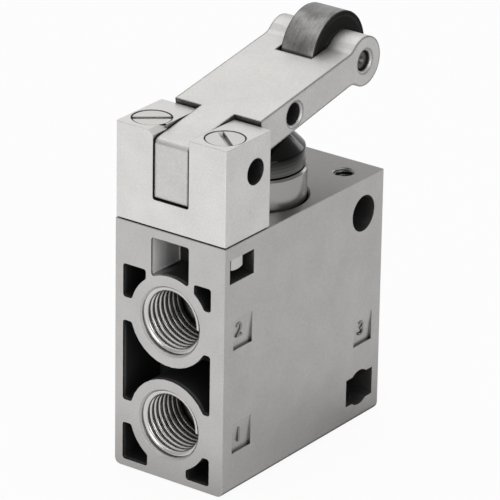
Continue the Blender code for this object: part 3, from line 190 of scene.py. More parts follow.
class Graph:
    """The node tree of one material or world."""

    def __init__(self, owner: Union[bpy.types.Material, bpy.types.World]) -> None:
        """Start on an emptied node tree.

        Args:
            owner: The material or world that the tree belongs to.
        """
        self.owner = owner
        owner.use_nodes = True
        self.tree = owner.node_tree
        self.tree.nodes.clear()

    @classmethod
    def of_material(cls, name: str) -> "Graph":
        """Start a new material."""
        return cls(bpy.data.materials.new(name))

    def node(self, kind: str, settings: dict[str, Any] | None = None,
             inputs: dict[Any, Any] | None = None) -> bpy.types.Node:
        """Add any node.

        Args:
            kind: The node's type.
            settings: Its properties, set first. "stops" gives a ramp's places and colours.
            inputs: Values, sockets or wrapped sockets, by socket name or number.

        Returns:
            The new node.
        """
        made = self.tree.nodes.new(kind)
        for key, setting in (settings or {}).items():
            if key == "stops":
                elements = made.color_ramp.elements
                while len(elements) < len(setting):
                    elements.new(1.0)
                for element, (place, colour) in zip(elements, setting):
                    element.position = place
                    element.color = (*colour, 1.0)
            else:
                setattr(made, key, setting)
        for key, value in (inputs or {}).items():
            socket = made.inputs[key]
            if isinstance(value, Value):
                self.tree.links.new(value.socket, socket)
            elif isinstance(value, bpy.types.NodeSocket):
                self.tree.links.new(value, socket)
            else:
                socket.default_value = value
        return made

    def value(self, node: bpy.types.Node, output: Union[str, int] = 0) -> Value:
        """Wrap one output of a node."""
        return Value(self, node.outputs[output])

    def place(self) -> tuple[Value, Value, Value]:
        """Give the surface point's own place.

        Returns:
            Its x, y and z in metres.
        """
        coordinates = self.node("ShaderNodeTexCoord")
        split = self.node("ShaderNodeSeparateXYZ", None, {0: coordinates.outputs["Object"]})
        return self.value(split, 0), self.value(split, 1), self.value(split, 2)

    def noise(self, scale: float, detail: float = 2.0, stretch: Point = (1.0, 1.0, 1.0)) -> Value:
        """Return a noise of about 1/scale metres, in object coordinates.

        Args:
            scale: Cells for each metre.
            detail: How many finer layers are added.
            stretch: Factors on the three coordinates, below 1 for long grain.

        Returns:
            The noise, from 0 to 1.
        """
        coordinates = self.node("ShaderNodeTexCoord")
        mapping = self.node("ShaderNodeMapping", None,
                            {"Vector": coordinates.outputs["Object"], "Scale": stretch})
        node = self.node("ShaderNodeTexNoise", None,
                         {"Vector": mapping.outputs[0], "Scale": scale, "Detail": detail})
        return self.value(node, 0)

    def openness(self, reach: float) -> Value:
        """Return how open the surroundings are, from 0 deep in a hole to 1 in the open."""
        node = self.node("ShaderNodeAmbientOcclusion", {"samples": 8}, {"Distance": reach})
        return self.value(node, "AO")

    def sharp_edges(self, radius: float, full: float = 0.8) -> Value:
        """Return a mask of sharp edges, where the rounded normal leaves the true one.

        Args:
            radius: How far the mask reaches from an edge, in metres.
            full: The cosine between the two normals at which the mask is 1.

        Returns:
            The mask, from 0 on flat faces to 1 on edges.
        """
        rounded = self.node("ShaderNodeBevel", {"samples": 4}, {"Radius": radius})
        true = self.node("ShaderNodeNewGeometry")
        dot = self.node("ShaderNodeVectorMath", {"operation": "DOT_PRODUCT"},
                        {0: rounded.outputs[0], 1: true.outputs["Normal"]})
        return self.value(dot, "Value").step(0.996, full)

    def blend(self, factor: Number, first: Any, second: Any) -> bpy.types.NodeSocket:
        """Mix two colours.

        Args:
            factor: The share of the second colour.
            first: The first colour, or its socket.
            second: The second colour, or its socket.

        Returns:
            The socket of the mixed colour.
        """
        node = self.node("ShaderNodeMix", {"data_type": "RGBA"}, {0: factor})
        for index, colour in ((6, first), (7, second)):
            if isinstance(colour, bpy.types.NodeSocket):
                self.tree.links.new(colour, node.inputs[index])
            else:
                node.inputs[index].default_value = (*colour, 1.0)
        return node.outputs[2]

    def bump(self, height: Number, depth: float, strength: float = 1.0,
             rounding: float = 0.0) -> bpy.types.NodeSocket:
        """Return a bumped normal.

        Args:
            height: The height, from 0 to 1.
            depth: What a height of 1 means, in metres.
            strength: The bump's strength.
            rounding: The radius that edges are shaded with, in metres, or 0.

        Returns:
            The socket of the normal.
        """
        inputs = {"Height": height, "Distance": depth, "Strength": strength}
        if rounding:
            inputs["Normal"] = self.node("ShaderNodeBevel", {"samples": 4},
                                         {"Radius": rounding}).outputs[0]
        return self.node("ShaderNodeBump", None, inputs).outputs[0]

    def close(self, inputs: dict[str, Any]) -> bpy.types.Material:
        """Finish the material with one Principled shader.

        Args:
            inputs: Values or sockets for the shader, by name.

        Returns:
            The material.
        """
        shader = self.node("ShaderNodeBsdfPrincipled", None, inputs)
        self.node("ShaderNodeOutputMaterial", None, {"Surface": shader.outputs[0]})
        return self.owner

    def close_mixed(self, share: Number, first: bpy.types.Node, second: bpy.types.Node,
                    output: str) -> None:
        """Finish the tree with a mix of two shaders.

        Args:
            share: How much of the second shader shows.
            first: The first shader's node.
            second: The second shader's node.
            output: The type of the output node.
        """
        mixed = self.node("ShaderNodeMixShader", None,
                          {0: share, 1: first.outputs[0], 2: second.outputs[0]})
        self.node(output, None, {"Surface": mixed.outputs[0]})


# Finishes


def scaled(colour: Colour, factor: float, lift: float = 0.0) -> Colour:
    """Return a colour times a factor, lifted a little and kept within 1."""
    return tuple(min(1.0, part * factor + lift) for part in colour)


@dataclass(frozen=True)
class CastNickel:
    """Satin nickel on a die casting, with painted shade in its holes and a set colour on its sharp
    edges.
    """

    name: str
    colour: Colour = (0.535, 0.525, 0.516)
    # The colour of the painted shade in holes and hollows.
    dark: Colour = (0.010, 0.010, 0.011)
    # Painted light: the pale colour of a lit wall.
    lit_wall_colour: Colour = (0.97, 0.96, 0.95)
    roughness: float = 0.40
    grain: float = 2600.0
    grain_depth: float = 0.018 * MM
    cloud_scale: float = 160.0
    streak_scale: float = 900.0
    streak_stretch: Point = (1.0, 1.0, 0.12)
    tint_range: Limits = (0.90, 1.08)
    reach: float = 8.0 * MM
    hollow_limits: Limits = (0.50, 0.38)
    # The colour on sharp edges: paler by default, painted shade along the edges where set dark.
    edge_colour: Colour = (0.66, 0.65, 0.63)
    edge_share: float = 0.6
    edge_width: float = 0.22 * MM
    edge_full: float = 0.80
    edge_breaks: float = 0.5
    break_scale: float = 700.0
    shade_share: float = 0.25
    shade_reach: float = 24.0 * MM
    shade_limits: Limits = (0.94, 0.36)
    shade_colour: float = 0.22
    # Painted shade in creases and narrow gaps: its share, reach and limits.
    crease_shade_share: float = 0.0
    crease_shade_reach: float = 2.6 * MM
    crease_shade_limits: Limits = (0.88, 0.45)
    # How much less metallic a wall with painted light is.
    lit_wall_dulling: float = 0.75
    rounding: float = 0.14 * MM

    def material(self) -> bpy.types.Material:
        """Build the node material.

        Returns:
            The material.
        """
        graph = Graph.of_material(self.name)
        fine = graph.noise(self.grain, 3.0)
        cloud = graph.noise(self.cloud_scale, 3.0)
        streak = graph.noise(self.streak_scale, 2.0, self.streak_stretch)
        edge_mask = graph.sharp_edges(self.edge_width, self.edge_full)
        edge_mask = edge_mask * (1.0 - self.edge_breaks * graph.noise(self.break_scale, 2.0))
        # Painted shade: holes and hollows darken towards the dark colour, lose their metal and grow
        # rougher.
        hollow = graph.openness(self.reach).step(*self.hollow_limits)
        shade = graph.openness(self.shade_reach).step(*self.shade_limits) * self.shade_share
        # Painted shade in creases and narrow gaps, from a short-reach occlusion.
        if self.crease_shade_share:
            crease_shade = graph.openness(self.crease_shade_reach).step(*self.crease_shade_limits) * self.crease_shade_share
            shade = shade.most(crease_shade)
        # The places add painted shade, and painted light that makes a wall paler and less metallic.
        hollow, shade, lit_wall = self.places(graph, hollow, shade)
        metallic = (1.0 - hollow) * (1.0 - self.lit_wall_dulling * lit_wall)
        mottle = (0.45 * cloud + 0.55 * fine).step(0.25, 0.75)
        darker, paler = (scaled(self.colour, factor) for factor in self.tint_range)
        tint = graph.blend(mottle, darker, paler)
        shaded = graph.blend(shade, tint, scaled(self.colour, self.shade_colour))
        shaded = graph.blend(lit_wall, shaded, self.lit_wall_colour)
        # Sharp edges take the edge colour, which is painted shade where it is dark.
        worn_and_shaded_edges = graph.blend(edge_mask * self.edge_share, shaded, self.edge_colour)
        colour = graph.blend(hollow, worn_and_shaded_edges, self.dark)
        roughness = self.roughness + 0.10 * (cloud - 0.5) + 0.06 * (streak - 0.5) + 0.14 * edge_mask
        normal = graph.bump(fine * 0.8 + streak * 0.2, self.grain_depth, 0.7, self.rounding)
        return graph.close({"Base Color": colour, "Metallic": metallic,
                            "Roughness": roughness + 0.3 * hollow, "Normal": normal})

    def places(self, graph: Graph, hollow: Value, shade: Value) -> tuple[Value, Value, Number]:
        """Return the masks of the painted shade in holes, the shade and the painted light on walls,
        here with nothing added.

        Args:
            graph: The material's graph.
            hollow: The mask of the painted shade in holes, from the surroundings alone.
            shade: The mask of the shaded surface.

        Returns:
            The same two masks, and the mask of the painted light on walls, here 0.
        """
        return hollow, shade, 0.0


@dataclass(frozen=True)
class HousingNickel(CastNickel):
    """The housing's nickel, with painted shade in its cored pockets, thread roots and tapped holes
    and on its top face, and painted light on one pocket wall.

    Its places are in millimetres, each given by the limits of a soft step or band.
    """

    pocket_depth: Band = (0.15, 0.55, 8.8, 9.2)
    pocket_half: Limits = (4.6, 4.45)
    pocket_rise: Band = (38.0, 39.0, 48.2, 48.4)
    # The places of the painted light on the top pocket's left wall and on its boss top.
    lit_wall_limits: Limits = (-4.0, -4.24)
    sill_across: Limits = (-1.0, -4.0)
    sill_depth: Limits = (6.5, 1.5)
    sill_share: float = 0.5
    core_depth: Band = (0.25, 1.3, 12.0, 12.3)
    core_top: Limits = (48.6, 48.2)
    core_middle: float = -0.68
    core_half: Limits = (10.5, 10.2)
    boss_radius: Limits = (7.7, 8.0)
    root_radius: Limits = (6.85, 6.7)
    root_depth: Band = (0.5, 1.0, 12.4, 13.0)
    root_side: float = 1.0
    tapped_radius: Limits = (2.12, 2.04)
    tapped_top: Limits = (49.6, 49.3)
    rim_top: Limits = (49.0, 49.45)
    # Painted shade on the top face: its limits and its share.
    top_shade_limits: Limits = (49.55, 49.75)
    top_shade_share: float = 0.58

    def places(self, graph: Graph, hollow: Value, shade: Value) -> tuple[Value, Value, Number]:
        """Return the masks of the painted shade in holes, the shade and the painted light.

        Args:
            graph: The material's graph.
            hollow: The mask of the painted shade in holes, from the surroundings alone.
            shade: The mask of the shaded surface.

        Returns:
            The mask of the painted shade in holes, with the pockets, the thread roots and the
            tapped holes in it, the mask of the shaded surface, with painted shade on the top face
            in it, and the mask of the painted light on the top pocket's left wall and boss top.
        """
        x, y, z = (part * (1 / MM) for part in graph.place())
        depth = y + HALF_DEPTH / MM
        top_pocket = depth.band(*self.pocket_depth) * x.size().step(*self.pocket_half)
        top_pocket = top_pocket * z.band(*self.pocket_rise)
        # Painted light on the top pocket's left wall and on the boss top inside it.
        sill = x.step(*self.sill_across) * depth.step(*self.sill_depth) * self.sill_share
        lit_wall = top_pocket * x.step(*self.lit_wall_limits).most(sill)
        outlet = self.distance(x, z - OUTLET_HEIGHT / MM)
        supply = self.distance(x, z - SUPPLY_HEIGHT / MM)
        exhaust = self.distance(x, z - EXHAUST_HEIGHT / MM)
        # Painted shade: the front pockets, the port threads' roots and the tapped holes turn
        # near-black.
        pocket_shade = depth.band(*self.core_depth) * z.step(*self.core_top)
        pocket_shade = pocket_shade * (x - self.core_middle).size().step(*self.core_half)
        pocket_shade = pocket_shade * outlet.step(*self.boss_radius) * supply.step(*self.boss_radius)
        front_roots = outlet.least(supply).step(*self.root_radius) * y.step(0.0, -self.root_side)
        rear_roots = exhaust.step(*self.root_radius) * y.step(0.0, self.root_side)
        inward = HALF_DEPTH / MM - y.size()
        roots = front_roots.most(rear_roots) * inward.band(*self.root_depth)
        tapped = self.distance(x.size() - TAPPED_OFFSET / MM, y - TAPPED_PLACE / MM)
        tapped = tapped.step(*self.tapped_radius) * z.step(*self.tapped_top)
        # Painted shade on the top face.
        top_shade = z.step(*self.top_shade_limits) * self.top_shade_share
        dark = (hollow * (1.0 - z.step(*self.rim_top))).most(pocket_shade).most(roots).most(tapped)
        return dark * (1.0 - lit_wall), shade.most(top_shade), lit_wall

    def distance(self, across: Value, along: Value) -> Value:
        """Return the distance from a hole's axis, from the two offsets square to it."""
        return (across * across + along * along).root()


@dataclass(frozen=True)
class TurnedMetal:
    """Metal with the fine rings that a lathe leaves, centred on the piece's own axis."""

    name: str
    colour: Colour
    roughness: float
    centre: Point = (0.0, 0.0, 0.0)
    axis: Axis = Axis.UP
    pitch: float = 0.12 * MM
    depth: float = 0.004 * MM
    reach: float = 5.0 * MM
    # The colour of the painted shade in holes and hollows.
    dark: Colour = (0.010, 0.010, 0.011)
    hollow_limits: Limits = (0.50, 0.22)
    hollow_share: float = 1.0
    # Darker from a given radius outwards, over a fade.
    dark_rim_from: float = 0.0
    dark_rim_fade: float = 0.12 * MM
    port_shade: Limits | None = None
    # Painted shade in bands along the axis.
    shade_bands: Sequence[Limits] = ()
    cloud_scale: float = 300.0
    fine_scale: float = 5000.0
    edge_width: float = 0.12 * MM
    edge_share: float = 0.35
    rounding: float = 0.08 * MM

    def material(self) -> bpy.types.Material:
        """Build the node material.

        Returns:
            The material.
        """
        graph = Graph.of_material(self.name)
        coordinates = graph.node("ShaderNodeTexCoord")
        centred = graph.node("ShaderNodeVectorMath", {"operation": "SUBTRACT"},
                             {0: coordinates.outputs["Object"], 1: self.centre})
        split = graph.node("ShaderNodeSeparateXYZ", None, {0: centred.outputs[0]})
        parts = [graph.value(split, index) for index in range(3)]
        along = parts.pop({Axis.RIGHT: 0, Axis.UP: 2}.get(self.axis, 1))
        radius = (parts[0] * parts[0] + parts[1] * parts[1]).root()
        rings = ((radius + along) * (2 * math.pi / self.pitch)).wave()
        cloud = graph.noise(self.cloud_scale, 3.0)
        fine = graph.noise(self.fine_scale, 2.0)
        edge_mask = graph.sharp_edges(self.edge_width)
        # Painted shade: holes and hollows darken towards the dark colour.
        hollow = graph.openness(self.reach).step(*self.hollow_limits) * self.hollow_share
        if self.dark_rim_from:
            hollow = hollow.most(radius.step(self.dark_rim_from, self.dark_rim_from + self.dark_rim_fade))
        if self.port_shade:
            hollow = hollow.most((HALF_DEPTH - along.size()).step(*self.port_shade))
        # Painted shade in the bands along the axis.
        for band in self.shade_bands:
            hollow = hollow.most(along.step(*band) * self.hollow_share)
        tint = graph.blend(cloud, scaled(self.colour, 0.95), scaled(self.colour, 1.05))
        bright = graph.blend(edge_mask * self.edge_share, tint, scaled(self.colour, 1.25, 0.03))
        colour = graph.blend(hollow, bright, self.dark)
        roughness = self.roughness * (0.85 + 0.3 * cloud) + 0.03 * rings
        normal = graph.bump(rings * 0.7 + fine * 0.3, self.depth, 0.5, self.rounding)
        return graph.close({"Base Color": colour, "Metallic": 1.0, "Roughness": roughness,
                            "Normal": normal})


@dataclass(frozen=True)
class BrushedRoller:
    """The roller's finish: a dull brushed tread between near-black end faces."""

    name: str
    half: float
    stains: Sequence[tuple[float, Colour]] = (
        (0.38, (0.150, 0.148, 0.145)), (0.50, (0.240, 0.237, 0.232)), (0.62, (0.370, 0.365, 0.357)))
    face: Colour = (0.020, 0.020, 0.0195)
    rim: Colour = (0.36, 0.355, 0.35)
    rim_share: float = 0.5
    rim_width: float = 0.2 * MM
    face_limits: Limits = (0.24 * MM, 0.19 * MM)
    grind_scale: float = 2600.0
    grind_stretch: Point = (1.0, 0.12, 0.12)
    stain_scale: float = 230.0
    speck_scale: float = 3600.0
    grain_depth: float = 0.010 * MM
    rounding: float = 0.1 * MM
    metallic: float = 0.85

    def material(self) -> bpy.types.Material:
        """Build the node material.

        Returns:
            The material.
        """
        graph = Graph.of_material(self.name)
        x, _, _ = graph.place()
        outer, inner = self.face_limits
        end = x.size().step(self.half - outer, self.half - inner)
        ground = graph.noise(self.grind_scale, 2.0, self.grind_stretch)
        stain = graph.noise(self.stain_scale, 5.0)
        speck = graph.noise(self.speck_scale, 3.0)
        edge_mask = graph.sharp_edges(self.rim_width)
        mottle = 0.22 * ground + 0.56 * stain + 0.22 * speck
        metal = graph.node("ShaderNodeValToRGB", {"stops": self.stains}, {0: mottle}).outputs[0]
        colour = graph.blend(edge_mask * self.rim_share, graph.blend(end, metal, self.face), self.rim)
        roughness = 0.26 + 0.12 * (stain - 0.5) + 0.06 * ground + 0.20 * end
        normal = graph.bump(ground * 0.5 + speck * 0.5, self.grain_depth, 0.5, self.rounding)
        return graph.close({"Base Color": colour, "Metallic": self.metallic * (1.0 - end),
                            "Roughness": roughness, "Specular IOR Level": 0.0, "Normal": normal})


@dataclass(frozen=True)
class BlackFinish:
    """A dark finish over steel, satin or polished, with faint scuffs and perhaps a ringed band."""

    name: str
    colour: Colour
    roughness: float
    metallic: float
    scuff: float = 0.25
    scuff_colour: Colour = (0.22, 0.22, 0.22)
    grain_depth: float = 0.006 * MM
    band_limits: Limits | None = None
    band: Colour = (0.15, 0.148, 0.144)
    band_rings: float = 9000.0
    fine_scale: float = 3800.0
    cloud_scale: float = 240.0
    scratch_scale: float = 1300.0
    scratch_stretch: Point = (0.12, 1.0, 1.0)
    edge_width: float = 0.15 * MM
    rounding: float = 0.1 * MM

    def material(self) -> bpy.types.Material:
        """Build the node material.

        Returns:
            The material.
        """
        graph = Graph.of_material(self.name)
        fine = graph.noise(self.fine_scale, 3.0)
        cloud = graph.noise(self.cloud_scale, 4.0)
        scratch = graph.noise(self.scratch_scale, 2.0, self.scratch_stretch)
        edge_mask = graph.sharp_edges(self.edge_width)
        tint = graph.blend(cloud, scaled(self.colour, 0.8), scaled(self.colour, 1.25))
        roughness = self.roughness + 0.08 * (cloud - 0.5) + 0.05 * (scratch - 0.5)
        if self.band_limits:
            _, _, z = graph.place()
            low = z.step(*self.band_limits) * (0.72 + 0.28 * (z * self.band_rings).wave())
            tint = graph.blend(low, tint, self.band)
            roughness = roughness + 0.16 * low
        worn = graph.blend(edge_mask * self.scuff, tint, self.scuff_colour)
        normal = graph.bump(fine * 0.7 + scratch * 0.3, self.grain_depth, 0.45, self.rounding)
        return graph.close({"Base Color": worn, "Metallic": self.metallic, "Roughness": roughness,
                            "Normal": normal})


@dataclass(frozen=True)
class SealRubber:
    """Black moulded rubber with a dull skin."""

    name: str
    black: Colour = (0.010, 0.010, 0.011)
    worn_black: Colour = (0.022, 0.022, 0.023)
    skin_scale: float = 4200.0
    cloud_scale: float = 350.0
    skin_depth: float = 0.012 * MM

    def material(self) -> bpy.types.Material:
        """Build the node material.

        Returns:
            The material.
        """
        graph = Graph.of_material(self.name)
        skin = graph.noise(self.skin_scale, 3.0)
        cloud = graph.noise(self.cloud_scale, 3.0)
        colour = graph.blend(cloud, self.black, self.worn_black)
        return graph.close({"Base Color": colour, "Roughness": 0.62 + 0.12 * cloud,
                            "Normal": graph.bump(skin, self.skin_depth, 0.6)})


# Modelling tools


def deselect() -> None:
    """Leave edit mode and deselect everything."""
    if bpy.context.object and bpy.context.object.mode != "OBJECT":
        bpy.ops.object.mode_set(mode="OBJECT")
    bpy.ops.object.select_all(action="DESELECT")


def pick(piece: bpy.types.Object) -> None:
    """Make one object the only selected and active one.

    Args:
        piece: The object.
    """
    deselect()
    piece.select_set(True)
    bpy.context.view_layer.objects.active = piece


def edit_all() -> None:
    """Enter edit mode on the active piece with everything in it selected."""
    bpy.ops.object.mode_set(mode="EDIT")
    bpy.ops.mesh.select_all(action="SELECT")


def leave_edit() -> None:
    """Go back to object mode."""
    bpy.ops.object.mode_set(mode="OBJECT")


def apply_place(piece: bpy.types.Object) -> None:
    """Put the object's place, turn and scale into its mesh."""
    pick(piece)
    bpy.ops.object.transform_apply(location=True, rotation=True, scale=True)


def apply_modifier(piece: bpy.types.Object, kind: str, settings: dict[str, Any]) -> None:
    """Add a modifier to the active piece and apply it.

    Args:
        piece: The active piece.
        kind: The modifier's type.
        settings: Its properties.
    """
    modifier = piece.modifiers.new(kind.lower(), kind)
    for key, setting in settings.items():
        setattr(modifier, key, setting)
    bpy.ops.object.modifier_apply(modifier=modifier.name)


def unmark(mesh: bpy.types.Mesh) -> None:
    """Deselect every face, edge and vertex of a mesh in object mode."""
    for element in (*mesh.polygons, *mesh.vertices, *mesh.edges):
        element.select = False


def select_creases(piece: bpy.types.Object, angle: float) -> int:
    """Select the edges whose two faces turn by more than an angle.

    Args:
        piece: A mesh object, in object mode.
        angle: The angle between the faces' normals, in radians.

    Returns:
        How many edges are selected.
    """
    mesh = piece.data
    unmark(mesh)
    normals: dict[tuple[int, int], list[Vector]] = {}
    for face in mesh.polygons:
        for key in face.edge_keys:
            normals.setdefault(key, []).append(face.normal)
    creases = {key for key, pair in normals.items()
               if len(pair) == 2 and pair[0].angle(pair[1], 0.0) > angle}
    for edge in mesh.edges:
        if edge.key in creases:
            edge.select = True
            for index in edge.vertices:
                mesh.vertices[index].select = True
    return len(creases)


def tidy_mesh(piece: bpy.types.Object, smooth: float = 32.0) -> bpy.types.Object:
    """Merge doubles, point the faces outwards and shade smooth.

    Args:
        piece: The piece.
        smooth: The angle in degrees up to which edges are shaded smooth.

    Returns:
        The same piece.
    """
    pick(piece)
    edit_all()
    bpy.ops.mesh.remove_doubles(threshold=DOUBLES)
    bpy.ops.mesh.normals_make_consistent(inside=False)
    leave_edit()
    bpy.ops.object.shade_smooth_by_angle(angle=math.radians(smooth))
    return piece


def mirrored(outline: Sequence[Ring]) -> list[Ring]:
    """Return a profile that goes on as the mirror image of its outline past height 0."""
    return [*outline, *((radius, -height) for radius, height in reversed(outline))]


def turn_piece(name: str, profile: Sequence[Ring], centre: Point, axis: Axis = Axis.UP,
               steps: int = 96, ring: bool = False) -> bpy.types.Object:
    """Model a turned piece by extruding and scaling one circle along its profile.

    Args:
        name: The piece's name.
        profile: Radius and height of each ring in metres. A radius of 0 closes the piece.
        centre: Where height 0 on the axis lies.
        axis: The direction of growing height.
        steps: Facets round the axis.
        ring: Whether the last ring joins the first, for a piece with a through bore.

    Returns:
        The finished piece.
    """
    deselect()
    radius, height = profile[0]
    bpy.ops.mesh.primitive_circle_add(vertices=steps, radius=radius, location=(0, 0, 0))
    piece = bpy.context.object
    piece.name = piece.data.name = name
    edit_all()
    bpy.ops.transform.translate(value=(0, 0, height))
    stops = list(profile[1:]) + ([profile[0]] if ring else [])
    for next_radius, next_height in stops:
        bpy.ops.mesh.extrude_region_move(
            TRANSFORM_OT_translate={"value": (0, 0, next_height - height)})
        factor = next_radius / radius
        bpy.ops.transform.resize(value=(factor, factor, 1), center_override=(0, 0, next_height))
        radius, height = next_radius, next_height
    bpy.ops.mesh.select_all(action="SELECT")
    bpy.ops.mesh.remove_doubles(threshold=DOUBLES)
    bpy.ops.mesh.select_all(action="DESELECT")
    bpy.ops.mesh.select_mode(type="EDGE")
    bpy.ops.mesh.select_non_manifold()
    if not ring:
        bpy.ops.mesh.edge_face_add()
    leave_edit()
    piece.rotation_euler = axis.value
    piece.location = centre
    apply_place(piece)
    return tidy_mesh(piece)


def cut_box(piece: bpy.types.Object, centre: Point, sizes: Point, turn: float = 0.0) -> None:
    """Cut a box out of a piece with an applied Boolean modifier.

    Args:
        piece: The piece that is cut.
        centre: The box's centre.
        sizes: The box's sizes.
        turn: Its turn about +Z in radians.
    """
    deselect()
    bpy.ops.mesh.primitive_cube_add(size=1, location=centre, rotation=(0, 0, turn), scale=sizes)
    cutter = bpy.context.object
    pick(piece)
    apply_modifier(piece, "BOOLEAN", {"operation": "DIFFERENCE", "object": cutter})
    bpy.data.objects.remove(cutter)


def copy_node(node: str, name: str) -> bpy.types.Object:
    """Copy a CAD node as a new piece with its own mesh and merge its loose triangles.

    Args:
        node: The CAD node's name.
        name: The new piece's name.

    Returns:
        The copy.
    """
    piece = bpy.data.objects.new(name, frame["nodes"][node].data.copy())
    piece.data.name = name
    bpy.context.scene.collection.objects.link(piece)
    piece.data.materials.clear()
    return tidy_mesh(piece)


def refine_node(node: str, name: str, bevel: float, sharp: float = 32.0) -> bpy.types.Object:
    """Copy a CAD node and round its sharp edges.

    Args:
        node: The CAD node's name.
        name: The new piece's name.
        bevel: The width of the rounding in metres.
        sharp: The angle between two faces, in degrees, above which their edge is rounded.

    Returns:
        The refined copy.
    """
    piece = copy_node(node, name)
    edit_all()
    bpy.ops.mesh.dissolve_limited(angle_limit=math.radians(0.5))
    bpy.ops.mesh.select_mode(type="EDGE")
    leave_edit()
    creases = select_creases(piece, math.radians(sharp))
    LOG.info("%s: %d creases rounded", name, creases)
    bpy.ops.object.mode_set(mode="EDIT")
    bpy.ops.mesh.bevel(offset=bevel, segments=2, profile=0.5, clamp_overlap=True)
    leave_edit()
    tidy_mesh(piece)
    apply_modifier(piece, "WEIGHTED_NORMAL", {"weight": 100, "keep_sharp": True})
    return piece


def settle(piece: bpy.types.Object, body: Body, slot: str, material: bpy.types.Material,
           *nodes: str) -> None:
    """Give a piece its finish, body and slot, and hide the CAD nodes that it stands for.

    Args:
        piece: The finished piece.
        body: The body that it rides on.
        slot: The record's material slot, not used.
        material: Its node material.
        nodes: The CAD nodes that it replaces.
    """
    piece.data.materials.clear()
    piece.data.materials.append(material)
    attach(piece, body.value)
    if nodes:
        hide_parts(*nodes)
    LOG.info("%s: %d faces, rides on %s", piece.name, len(piece.data.polygons), body.value)


def repaint(node: str, material: bpy.types.Material) -> None:
    """Give a carried-over CAD node a better material.

    Args:
        node: The CAD node's name.
        material: Its node material.
    """
    piece = frame["nodes"][node]
    piece.data.materials.clear()
    piece.data.materials.append(material)
    LOG.info("%s: CAD node with finish %s", node, material.name)


def measure(node: str) -> tuple[Vector, Point]:
    """Return the centre of a CAD node's box and half its sizes."""
    low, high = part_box(node)
    return (low + high) / 2, tuple((end - start) / 2 for start, end in zip(low, high))


# Sub-assemblies


